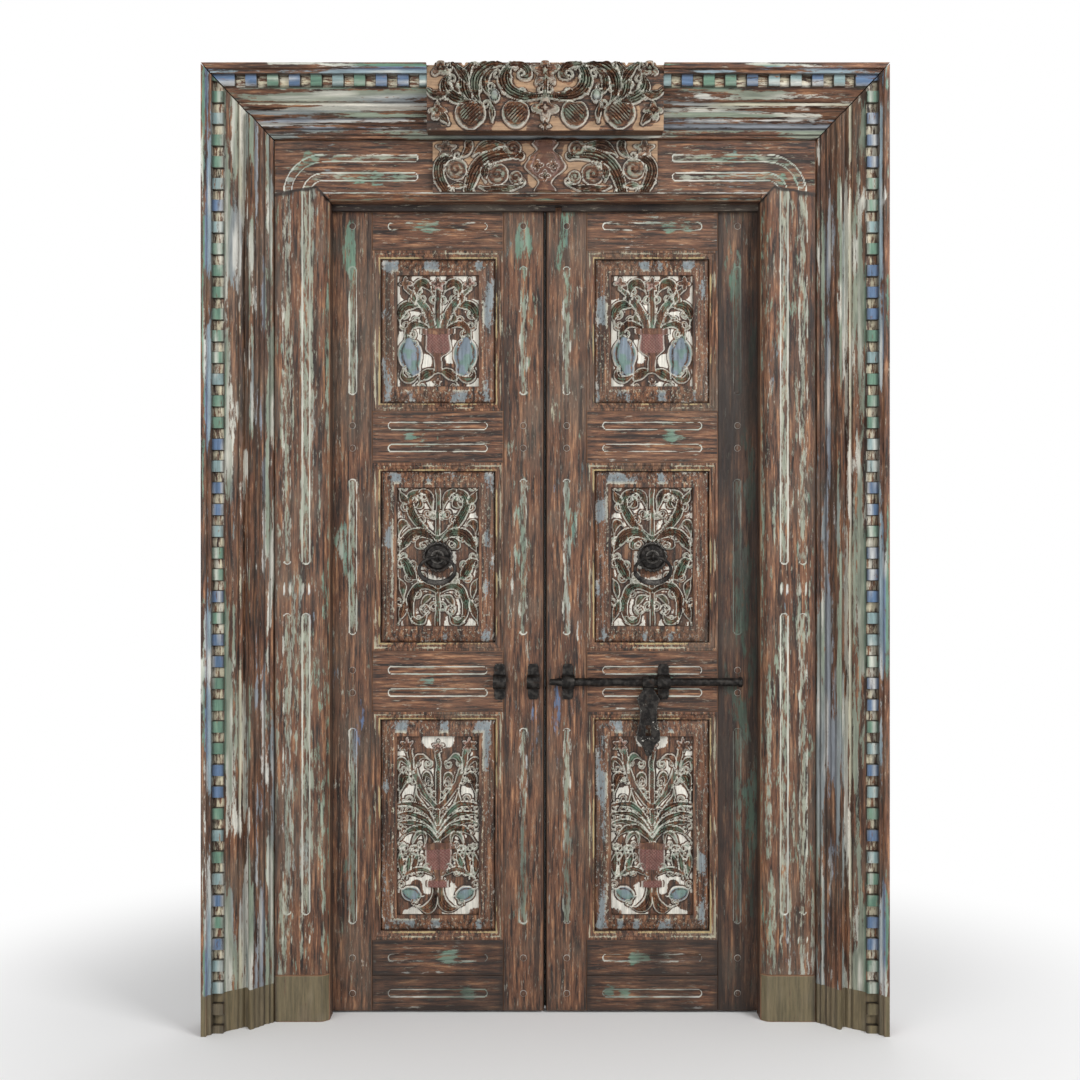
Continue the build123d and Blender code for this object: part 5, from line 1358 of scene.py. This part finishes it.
@dataclass
class Leaf:
    """One leaf: stiles, rails, carved panels, their mouldings and the pegs' heads."""

    side: str
    finishes: Finishes
    seed: float
    bottom: float = 5.0
    top: float = 1946.0
    rails: tuple[tuple[str, float, float, int], ...] = (
        ("kick_rail", 5.0, 89.0, 1), ("bottom_rail", 89.0, 175.0, 1), ("lock_rail", 722.0, 869.0, 2),
        ("upper_rail", 1320.0, 1445.0, 2), ("top_rail", 1830.0, 1946.0, 1),
    )
    panels: tuple[tuple[str, float, float, Field], ...] = (
        ("lower", 175.0, 722.0, LOWER_FIELD), ("middle", 869.0, 1320.0, MIDDLE_FIELD),
        ("upper", 1445.0, 1830.0, UPPER_FIELD),
    )
    outer_flute: float = 462.0
    meeting_flute: float = 52.0
    panel_step: float = 1.75
    field_depth: float = 12.0

    @staticmethod
    def levels(low: float, high: float, count: int) -> tuple[float, ...]:
        """Where a rail's one flute or its pair lies."""
        middle = (low + high) / 2
        return (middle,) if count == 1 else (middle - RAIL_PAIR, middle + RAIL_PAIR)

    def add(self, name: str, surface: Surface, finish: bpy.types.Material, slot: str,
            sharp: float = SHARP) -> None:
        """Add a piece of this leaf."""
        add_handed(self.side, name, "wood", f"{self.side}_leaf", surface, finish, sharp)

    def build(self) -> None:
        """Add every piece of the leaf."""
        f = self.finishes
        self.add("outer_stile", self.stile((415.0, 520.0), self.outer_flute, 3.0), f.upright, "leaf_wood")
        self.add("meeting_stile", self.meeting(), f.upright, "leaf_wood")
        for i, (name, low, high, count) in enumerate(self.rails):
            self.add(name, self.rail(low, high, count, 11.0 + i), f.level, "leaf_wood")
        for i, (name, low, high, field) in enumerate(self.panels):
            panel = self.panel(low, high, field, 17.0 + i)
            self.add(name + "_panel", panel, f.carved, "carved_wood", CARVED_SHARP)
            self.add(name + "_moulding", self.moulding(low, high, 23.0 + i), f.upright, "moulding_wood")
        self.add("pegs", self.pegs(), f.upright, "leaf_wood")
        dress(f"{self.side}_leaf_hinges", f.iron)

    def stile(self, x: tuple[float, float], flute_x: float, extra: float) -> Surface:
        """A stile with a flute beside each panel and coats left by its ends."""
        flutes = [Flute(((flute_x, low + 48.0), (flute_x, high - 48.0))) for _, low, high, _ in self.panels]
        # The right leaf's outer stile is darkened all over with deep green paint and heavy soiling. This is
        # partly painted shade standing in for the right jamb's shadow.
        dark_and_shaded = self.side == "right" and extra < 5
        board = Board(x, (self.bottom, self.top), LEAF_FRONT_Y, LEAF_BACK_Y, flutes, self.seed + extra, True,
                      0.3, 0.6, 0.5 if dark_and_shaded else 0.1)
        middle = (x[0] + x[1]) / 2
        coats = [
            (Coat.GREEN, middle, 1850.0, 50.0, 170.0, 0.56),
            (Coat.GREEN, middle + 20, 1130.0, 30.0, 190.0, 0.54),
            (Coat.BLUE, middle - 24, 700.0, 18.0, 160.0, 0.5),
            (Coat.WHITE, middle + 26, 960.0, 10.0, 260.0, 0.5),
            (Coat.DEEP_GREEN, middle, 330.0, 40.0, 190.0, 0.5),
            (Coat.CREAM, middle - 34, 1500.0, 9.0, 200.0, 0.55),
        ]
        if dark_and_shaded:
            coats = [
                (Coat.DEEP_GREEN, middle + 24, 1000.0, 90.0, 1500.0, 0.54),
                (Coat.GREEN, middle - 10, 1800.0, 50.0, 190.0, 0.55),
                (Coat.GREEN, middle, 900.0, 40.0, 260.0, 0.5),
                (Coat.GREEN, middle + 20, 500.0, 40.0, 200.0, 0.52),
            ]
        return board.build(coats)

    def meeting(self) -> Surface:
        """The meeting stile, its edge leaning back to the other leaf's and painted dark as shade in the gap
        between the leaves.
        """
        surface = self.stile((4.0, 100.0), self.meeting_flute, 7.0)
        points = surface.points
        edge = (points[:, 1] > LEAF_BACK_Y - 0.1) & (points[:, 0] < 4.1)
        points[edge, 0] = HAIR
        # Painted shade: the bevelled meeting edge is darkened to read as the dark gap between the leaves.
        surface.grime_and_shade = np.where(edge, 0.9, surface.grime_and_shade)
        return surface

    def rail(self, low: float, high: float, count: int, extra: float) -> Surface:
        """A rail with one flute along its middle, or a pair."""
        middle = (low + high) / 2
        reach = (PULL_X - 110.0, PULL_X + 110.0)
        flutes = [Flute(((reach[0], z), (reach[1], z))) for z in self.levels(low, high, count)]
        board = Board(PANEL_X, (low, high), LEAF_FRONT_Y, LEAF_BACK_Y, flutes, self.seed + extra, False,
                      0.25, 0.5, 0.42 if high < 200 else 0.06)
        coats = [(Coat.GREEN, PULL_X + 60.0 * math.sin(extra), middle, 90.0, 34.0, 0.55),
                 (Coat.WHITE, PULL_X - 90.0 * math.sin(extra), low + 8.0, 120.0, 7.0, 0.5)]
        return board.build(coats)

    def panel(self, low: float, high: float, field: Field, extra: float) -> Surface:
        """A raised panel: level behind its moulding, a bevel up to a border, the carved field sunk inside.

        The distance in from the opening's edge gives the depth along that section; inside the border the
        field's relief stands on its ground.

        Args:
            low, high: the opening's foot and top.
            field: what is carved on it.
            extra: which noise.

        Returns:
            The surface.
        """
        rim = np.array((0.0, 19.0, 21.0, 27.0, 34.0, 42.0, 49.0, 51.0, 55.0, 58.6, 59.3))
        lines = []
        for start, end in (PANEL_X, (low, high)):
            inner = np.arange(start + FIELD_EDGE, end - FIELD_EDGE + 0.1, self.panel_step)
            lines.append(np.unique(np.round(np.concatenate((start + rim, inner, end - rim[::-1])), 2)))
        x, z = np.meshgrid(*lines)
        paint = Paint(x.shape)
        edge = np.minimum.reduce((x - PANEL_X[0], PANEL_X[1] - x, z - low, high - z))
        depth = np.interp(edge, (0.0, 20.0, 20.01, 50.0, 59.0, 60.0), (20.0, 20.0, 16.0, 3.4, 3.0, 12.0))
        bevel = smooth(edge, 18.0, 22.0) * (1 - smooth(edge, 49.0, 52.0))
        border = smooth(edge, 49.0, 51.0) * (1 - smooth(edge, 57.0, 59.0))
        streak = mottle(x, z, 26, 26, self.seed + extra)
        paint.lay(Coat.ASH, 0.45 * bevel + 0.36 * border)
        paint.lay(Coat.SLATE, 0.58 * bevel * smooth(mottle(x, z, 20, 60, self.seed + extra + 1), 0.3, 0.8))
        paint.lay(Coat.WHITE, 0.56 * bevel * smooth(streak, 0.66, 0.95) * (1 - smooth(edge, 24.0, 34.0)))
        paint.lay(Coat.CREAM, 0.62 * ridge(edge, 50.0, 1.6) * (0.6 + 0.5 * streak))
        paint.lay(Coat.WHITE, 0.8 * ridge(edge, 22.5, 2.0) * (0.5 + 0.7 * streak))
        paint.grime_and_shade += 0.5 * ridge(edge, 20.0, 1.4) + 0.5 * ridge(edge, 59.6, 1.2)
        carved = Paint(x.shape)
        relief = field.carve(x - PULL_X, z - low - FIELD_EDGE, carved)
        inside = edge >= FIELD_EDGE - 0.1
        depth = np.where(inside, self.field_depth - 8.6 * relief + 0.8 * mottle(x, z, 5, 5, self.seed), depth)
        paint.take(carved, inside)
        return slab(x, z, LEAF_FRONT_Y + depth, LEAF_FRONT_Y + 32.0, paint)

    def moulding(self, low: float, high: float, extra: float) -> Surface:
        """The mitred strips round a panel: a section of bead, hollow and fillet carried round the opening.

        The grid runs along the opening's four sides one way and round the section the other; each side's
        points are the corner moved in by the section's width, so that the mitres close.

        Args:
            low, high: the opening's foot and top.
            extra: which noise.

        Returns:
            The surface.
        """
        (left, right), steps = PANEL_X, 14
        corners = np.array((
            (left, low, 1, 1), (right, low, -1, 1), (right, high, -1, -1), (left, high, 1, -1),
        ))
        start, end = (np.repeat(c, steps, axis=0) for c in (corners, np.roll(corners, -1, axis=0)))
        along = np.tile(np.linspace(0.0, 1.0, steps + 1)[:-1], 4)[:, None]
        across, deep = MOULDING_SECTION.T
        x, z = (
            (start[:, i:i + 1] + start[:, i + 2:i + 3] * across) * (1 - along)
            + (end[:, i:i + 1] + end[:, i + 2:i + 3] * across) * along for i in (0, 1)
        )
        y = np.repeat(LEAF_FRONT_Y + deep[None], len(x), axis=0)
        points = np.stack((x, y, z), axis=-1).reshape(-1, 3)
        paint = Paint(x.shape)
        wide = np.repeat(across[None], len(x), axis=0)
        ragged = mottle(x, z, 40, 40, self.seed + extra)
        paint.lay(Coat.ASH, 0.36 + 0.1 * ragged)
        paint.lay(Coat.CREAM, 0.64 * ridge(wide, 6.8, 1.9) * (0.5 + 0.7 * ragged))
        paint.lay(Coat.OCHRE, 0.66 * ridge(wide, 16.6, 2.0) * (0.5 + 0.7 * ragged))
        paint.wear += ridge(wide, 3.0, 1.8)
        paint.grime_and_shade += 0.6 * smooth(wide, 18.0, 20.0) + 0.4 * ridge(wide, 8.0, 1.2)
        coat, wear, grime_and_shade = paint.coat.reshape(-1, 4), paint.wear.ravel(), paint.grime_and_shade.ravel()
        return Surface(points, woven(*x.shape, (True, True), True), [], coat, wear, grime_and_shade)

    def pegs(self) -> Surface:
        """The pegs' heads: low domes turned about their own middles."""
        heads = []
        for name, low, high, count in self.rails:
            xs = (self.outer_flute,) if name == "lock_rail" else (self.outer_flute, self.meeting_flute)
            for x in xs:
                for z in self.levels(low, high, count):
                    head = lathe(PEG_SECTION, (x, LEAF_FRONT_Y, z), "y", PEG_STEPS)
                    head.grime_and_shade[:] = 0.35
                    head.coat[:2 * PEG_STEPS] = (*linear(Coat.WHITE.value), 0.8)
                    heads.append(head)
        return Surface.joined(heads)


def tube(points: Array, turned: bool = False) -> Surface:
    """Join rows of points, each going once round, into a tube, and fill its first and last rows."""
    rows, columns = points.shape[:2]
    first = np.arange(columns)
    last = first + (rows - 1) * columns
    rings = [first, last[::-1]] if turned else [first[::-1], last]
    return Surface.bare(points.reshape(-1, 3), woven(rows, columns, (False, True), turned), rings)


def lathe(section: Array, middle: tuple[float, float, float], axis: str, steps: int,
          flats: float = 0.0) -> Surface:
    """Turn a section of radius and distance along an axis into a round, closed at both ends.

    Args:
        section: rows of radius and distance along the axis.
        middle: where the axis's zero is.
        axis: x or y.
        steps: how many steps go round.
        flats: how far hammered flats draw the radius in, as a share.

    Returns:
        The surface.
    """
    turn = circle(steps)
    radius = section[:, :1] * (1 - flats * (0.5 + 0.5 * np.cos(8 * turn))[None])
    along = np.repeat(section[:, 1:], steps, axis=1)
    a, b = radius * np.cos(turn), radius * np.sin(turn)
    shape = (along, a, b) if axis == "x" else (a, along, b)
    surface = tube(np.stack(shape, axis=-1) + np.array(middle))
    rising = section[-1, 1] > section[0, 1]
    return surface if (axis == "x") == rising else surface.flipped()


def hoop(centre: Array, across: Array, deep: Array, section: tuple[Array, Array], steps: int) -> Surface:
    """Carry a rounded section round a closed path.

    Args:
        centre: the path's points.
        across: the direction outwards at each point.
        deep: the direction along the hoop's axis.
        section: half thickness outwards at each point, and half thickness along the axis.
        steps: how many steps go round the section.

    Returns:
        The surface.
    """
    turn = circle(steps)
    bend = [np.sign(c) * np.abs(c) ** 0.8 for c in (np.cos(turn), np.sin(turn))]
    out = across[:, None, :] * (section[0][:, None] * bend[0])[..., None]
    along = deep[None, None, :] * (section[1][:, None] * bend[1])[..., None]
    points = (centre[:, None, :] + out + along).reshape(-1, 3)
    return Surface.bare(points, woven(len(centre), steps, (True, True), True))


def collar(middle: tuple[float, float, float], radius: float, section: tuple[float, float],
           steps: tuple[int, int]) -> Surface:
    """A round hoop about X.

    Args:
        middle: its middle.
        radius: how far its section's middle is from there.
        section: half thickness outwards, and half thickness along X.
        steps: how many steps go round the hoop, and round its section.

    Returns:
        The surface.
    """
    turn = circle(steps[0])
    out = np.stack((0 * turn, np.cos(turn), np.sin(turn)), axis=-1)
    thick, wide = (np.full(steps[0], half) for half in section)
    return hoop(np.array(middle) + radius * out, out, np.array((1.0, 0.0, 0.0)), (thick, wide), steps[1])


# The ring pull's plate from its rim to its boss: share of its radius, height, and how bright it is rubbed.
ROSETTE = np.array((
    (1.0, 0.0, 0.0), (1.0, 2.2, 0.0), (0.93, 4.2, 0.9), (0.86, 4.4, 0.6), (0.8, 3.6, 0.0), (0.74, 5.4, 0.0),
    (0.7, 8.0, 0.6), (0.62, 8.8, 0.3), (0.52, 9.0, 0.0), (0.45, 9.2, 0.0), (0.42, 12.4, 0.9),
    (0.34, 13.2, 0.7), (0.2, 13.4, 0.4), (0.06, 13.4, 0.4),
))


@dataclass
class RingPull:
    """A ring pull: its toothed plate, its eye and the ring that hangs in it."""

    side: str
    finishes: Finishes
    half_width: float = 47.0
    half_height: float = 36.0
    plate_radius: float = 38.0
    teeth: int = 22

    def add(self, name: str, body: str, surface: Surface) -> None:
        """Add a forged piece of this pull."""
        add_handed(self.side, name, "iron", f"{self.side}_{body}", surface, self.finishes.iron)

    def build(self) -> None:
        """Add the plate, the eye and the ring."""
        self.add("ring_rosette", "leaf", self.rosette())
        self.add("ring_eye_bolt", "leaf", self.eye())
        self.add("pull_ring", "ring", self.ring())

    def rosette(self) -> Surface:
        """The plate: rings of points that swell once a tooth at the rim and rise in steps to the boss."""
        share, rise, rubbed = ROSETTE.T
        turn = circle(6 * self.teeth)
        tooth = 0.075 * (0.5 - 0.5 * np.cos(self.teeth * turn))[None] * smooth(share, 0.76, 0.95)[:, None]
        petal = smooth(share, 0.45, 0.55) * (1 - smooth(share, 0.66, 0.72))
        dip = np.minimum(1.1 * np.cos(self.teeth / 2 * turn)[None] * petal[:, None], 0.0)
        radius = self.plate_radius * share[:, None] * (1 - tooth)
        y = ROSETTE_BACK_Y - np.maximum(rise[:, None] + dip, 0.0)
        points = np.stack((PULL_X + radius * np.cos(turn), y, PULL_Z + radius * np.sin(turn)), axis=-1)
        surface = tube(points)
        surface.wear += np.repeat(rubbed, len(turn))
        return surface

    def eye(self) -> Surface:
        """The eye, a hoop about X, on a shank through the leaf."""
        middle = (PULL_X, EYE_Y, PULL_Z)
        loop = collar(middle, 9.35, (2.4, 2.9), (36, 12))
        loop.wear += 0.5
        section = np.array(((4.6, 9.0), (4.9, 20.0), (4.9, LEAF_BACK_Y - EYE_Y)))
        return Surface.joined((loop, lathe(section, middle, "y", 16)))

    def ring(self) -> Surface:
        """The ring: an oval path whose section thickens towards its foot."""
        turn = circle(72)
        thick = 4.0 + 2.5 * smooth(-np.cos(turn), -0.2, 1.0)
        wide, tall = self.half_width - thick, self.half_height - thick
        path = np.stack((wide * np.sin(turn), 0 * turn, tall * np.cos(turn)), axis=-1)
        out = np.stack((np.sin(turn) / self.half_width, 0 * turn, np.cos(turn) / self.half_height), axis=-1)
        out /= np.linalg.norm(out, axis=1, keepdims=True)
        centre = path + np.array((PULL_X, EYE_Y, PULL_Z + 4.0 - self.half_height))
        surface = hoop(centre, out, np.array((0.0, 1.0, 0.0)), (thick, np.full(len(turn), 4.0)), 14)
        surface.wear += np.repeat(smooth(-np.cos(turn), 0.2, 1.0), 14) * 0.8
        return surface


@dataclass
class SlideBolt:
    """The bolt, its hasp and the keepers it runs in."""

    finishes: Finishes
    tip: float = 10.0
    length: float = 462.0
    hasp_x: float = 247.0
    hasp_length: float = 176.0
    hasp_half: float = 28.6
    hasp_edge: float = 1.4
    plate_half: float = 3.0
    slot: tuple[float, float] = (103.0, 129.0)
    slot_half: float = 7.0
    arch: float = 14.8
    strap_half: float = 2.0
    left_keepers: tuple[float, ...] = (-109.0, -28.0)
    right_keepers: tuple[float, ...] = (55.0, 284.0)

    def build(self) -> None:
        """Add the bar, the hasp and both leaves' keepers."""
        iron = self.finishes.iron
        add_piece("slide_bolt_iron", "bolt", self.bar(), iron, ["slide_bolt"])
        add_piece("hasp_iron", "hasp", self.hasp(), iron, ["hasp"])
        for side, places in (("left", self.left_keepers), ("right", self.right_keepers)):
            straps = Surface.joined([self.keeper(x) for x in places])
            add_piece(f"{side}_keepers_iron", f"{side}_leaf", straps, iron, [f"{side}_keepers"])

    def bar(self) -> Surface:
        """The bar: a turned section with a rounded tip, a long shaft and an upset head."""
        shaft = (
            (3.0, 0.0), (6.6, 0.8), (7.8, 3.0), (7.9, 17.0), (9.6, 20.0), (9.7, 120.0), (9.4, 240.0),
            (9.7, 360.0),
        )
        head = ((9.6, 11.0), (11.4, 9.4), (12.6, 7.0), (12.8, 3.0), (11.4, 0.6), (5.0, 0.0))
        end = self.tip + self.length
        section = np.array([(r, self.tip + d) for r, d in shaft] + [(r, end - d) for r, d in head])
        surface = lathe(section, (0.0, BOLT_Y, BOLT_Z), "x", 28, 0.03)
        surface.wear += 0.45
        return surface

    def keeper(self, x: float) -> Surface:
        """A keeper: a rounded strap section carried up one foot, over the bolt and down the other.

        The path is the feet's straight runs and a half round; the strap's half width narrows between foot and
        arch.

        Args:
            x: where its middle is.

        Returns:
            The surface.
        """
        turn = np.linspace(np.pi / 2, 3 * np.pi / 2, 17)
        arch = np.stack((BOLT_Y + self.arch * np.cos(turn), BOLT_Z + self.arch * np.sin(turn)), axis=-1)
        foot_y = LEAF_FRONT_Y - self.strap_half
        rises = ((0.0, 42.6), (0.0, 36.0), (0.0, 28.0), (0.0, 20.0), (0.6, 16.3), (3.0, self.arch))
        top = np.array([(foot_y - out, BOLT_Z + rise) for out, rise in rises])
        path = np.concatenate((top, arch, top[::-1] * (1, -1) + (0, 2 * BOLT_Z)))
        slope = np.gradient(path, axis=0)
        slope /= np.linalg.norm(slope, axis=1, keepdims=True)
        normal = np.stack((-slope[:, 1], slope[:, 0]), axis=-1)
        away = np.abs(path[:, 1] - BOLT_Z)
        half = np.interp(away, (0.0, 14.0, 23.0, 33.0, 42.6), (15.6, 15.4, 11.8, 14.4, 9.0))
        shares = (-1.0, -0.9, 0.9, 1.0)
        rim = np.array([(share, -1.0) for share in shares] + [(share, 1.0) for share in shares[::-1]])
        rim *= np.where(np.abs(rim[:, :1]) == 1, (1.0, 0.72), (1.0, 1.0))
        wide = half[:, None] * rim[:, 0]
        thick = self.strap_half * rim[:, 1]
        y = path[:, :1] + normal[:, :1] * thick
        z = path[:, 1:] + normal[:, 1:] * thick
        surface = tube(np.stack((x + wide, np.minimum(y, LEAF_FRONT_Y), z), axis=-1), True)
        surface.wear += np.tile(np.array((1.0, 0.3, 0.3, 1.0, 1.0, 0.3, 0.3, 1.0)), len(path)) * 0.6
        surface.fleck(0.42, (9, 9), 3.0 + x)
        return surface

    def hasp(self) -> Surface:
        """The hasp: a hollow eye round the bolt, and a slotted plate whose half width is read along it.

        The plate is a grid of shares across and distances down; the grid's faces in the slot are left out,
        and a wall closes every open edge.
        """
        sizes = np.array((
            (0.45, 0.0), (0.48, 0.11), (0.97, 0.23), (0.72, 0.35), (0.72, 0.52), (1.0, 0.69), (0.97, 0.79),
            (0.56, 0.86), (0.32, 0.94), (0.2, 1.0),
        ))
        slot = self.slot
        down = np.unique(np.concatenate((np.linspace(12.0, self.hasp_length, 58), slot)))
        half = self.hasp_half * np.interp(down / self.hasp_length, sizes[:, 1], sizes[:, 0])
        cut = (down >= slot[0] - 0.1) & (down <= slot[1] + 0.1)
        middle = np.where(cut, self.slot_half / half, 0.3)
        right = np.stack((middle, (1 + middle) / 2, 1 - self.hasp_edge / half, np.ones_like(half)), axis=1)
        share = np.concatenate((-right[:, ::-1], right), axis=1)
        x = self.hasp_x + share * half[:, None]
        z = np.repeat(BOLT_Z - down[:, None], 8, axis=1)
        lean = np.array((1.3, 0, 0, 0, 0, 0, 0, 1.3))[None] * np.ones_like(x)
        count = x.size
        thick = self.plate_half - lean
        front = np.stack((x, BOLT_Y - thick, z), axis=-1).reshape(-1, 3)
        rear = np.stack((x, BOLT_Y + thick, z), axis=-1).reshape(-1, 3)
        kept = np.ones((len(down) - 1, 7), dtype=bool)
        kept[(down[:-1] >= slot[0] - 0.1) & (down[1:] <= slot[1] + 0.1), 3] = False
        face = woven(*x.shape, turned=True).reshape(*kept.shape, 4)
        faces = [face[kept], face[kept][:, ::-1] + count]
        framed = np.pad(kept, 1)
        for (dj, di), (a, b) in (((0, -1), (0, 1)), ((1, 0), (1, 2)), ((0, 1), (2, 3)), ((-1, 0), (3, 0))):
            open_edge = kept & ~framed[1 + dj:framed.shape[0] - 1 + dj, 1 + di:framed.shape[1] - 1 + di]
            pair = face[open_edge]
            faces.append(np.stack((pair[:, b], pair[:, a], pair[:, a] + count, pair[:, b] + count), axis=-1))
        plate = Surface.bare(np.concatenate((front, rear)), np.concatenate(faces))
        plate.wear += np.tile((np.abs(share) > 0.9).ravel() * 0.8, 2)
        plate.fleck(0.5, (10, 14), 5.0)
        eye = collar((self.hasp_x, BOLT_Y, BOLT_Z), 12.5, (2.1, 14.6), (32, 16))
        return Surface.joined((plate, eye))


# Lamps: name, place and size in metres, power in watts, and the point each faces.
LAMPS = (
    ("key", (2.5, -3.0, 2.9), 1.7, 105.0, (0.0, 0.0, 1.1)),
    ("fill", (-2.2, -3.6, 1.7), 2.6, 62.0, (0.0, 0.0, 1.0)),
    ("back", (0.5, 3.5, 2.8), 2.5, 40.0, (0.0, 0.0, 1.1)),
)


@dataclass
class Studio:
    """Floor, light and camera."""

    eye_height: float = 1.135
    distance: float = 3.6
    lens_mm: float = 50.0

    def build(self) -> None:
        """Add the floor, the world, the lamps and the camera."""
        self.floor()
        self.world()
        for name, place, size, power, aim in LAMPS:
            lamp = bpy.data.lights.new(name, "AREA")
            lamp.size, lamp.energy = size, power
            shown = bpy.data.objects.new(name, lamp)
            shown.location = place
            way = np.array(aim) - np.array(place)
            tilt = math.atan2(math.hypot(way[0], way[1]), -way[2])
            shown.rotation_euler = (tilt, 0.0, math.atan2(way[1], way[0]) - math.pi / 2)
            bpy.context.scene.collection.objects.link(shown)
        view = bpy.data.cameras.new("camera")
        view.lens, view.sensor_width = self.lens_mm, 36.0
        camera = bpy.data.objects.new("camera", view)
        camera.location = (-0.012, LEAF_FRONT_Y / 1000 - self.distance, self.eye_height)
        camera.rotation_euler = (math.pi / 2, 0.0, 0.0)
        bpy.context.scene.collection.objects.link(camera)
        bpy.context.scene.camera = camera
        bpy.context.scene.view_settings.view_transform = "Standard"

    def floor(self) -> None:
        """A pale floor that fades into the white round it away from the door."""
        mesh = bpy.data.meshes.new("floor")
        mesh.from_pydata([(-9, -9, 0), (9, -9, 0), (9, 9, 0), (-9, 9, 0)], [], [(0, 1, 2, 3)])
        f = Finish(bpy.data.materials.new("pale_floor"))
        place = f.place()
        tone = f.blend(f.noise(place, 3.0, 2.0, 0.5), (0.86, 0.86, 0.86, 1), (0.9, 0.9, 0.9, 1))
        dull = f.node("BsdfDiffuse", {"Color": tone})
        glow = f.node("Emission", {"Color": WHITE_LIGHT, "Strength": 1.0})
        far = f.span(f.node("VectorMath", {0: place}, operation="LENGTH").outputs["Value"], 0.9, 1.9)
        ray = f.node("LightPath").outputs
        sent = f.sums("MAXIMUM", ray["Is Glossy Ray"], ray["Is Transmission Ray"])
        share = f.sums("MULTIPLY", far, f.sums("MAXIMUM", ray["Is Camera Ray"], sent))
        mixed = f.node("MixShader", {0: share, 1: dull.outputs[0], 2: glow.outputs[0]})
        f.node("OutputMaterial", {"Surface": mixed.outputs[0]})
        mesh.materials.append(f.owner)
        plane = bpy.data.objects.new("floor", mesh)
        bpy.context.scene.collection.objects.link(plane)

    def world(self) -> None:
        """Even light all round, seen as plain white."""
        world = bpy.data.worlds.new("studio")
        bpy.context.scene.world = world
        f = Finish(world)
        ray = f.node("LightPath").outputs
        seen = f.sums("MAXIMUM", ray["Is Camera Ray"], ray["Is Transmission Ray"])
        lit = f.node("Background", {"Color": WHITE_LIGHT, "Strength": 0.5})
        white = f.node("Background", {"Color": WHITE_LIGHT})
        mixed = f.node("MixShader", {0: seen, 1: lit.outputs[0], 2: white.outputs[0]})
        f.node("OutputWorld", {"Surface": mixed.outputs[0]})


def main() -> None:
    """Build and dress the door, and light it."""
    finishes = Finishes()
    Studio().build()
    DoorFrame(finishes).build()
    for side, seed in (("left", 101.0), ("right", 203.0)):
        Leaf(side, finishes, seed).build()
        RingPull(side, finishes).build()
    SlideBolt(finishes).build()


if __name__ == "__main__":
    main()
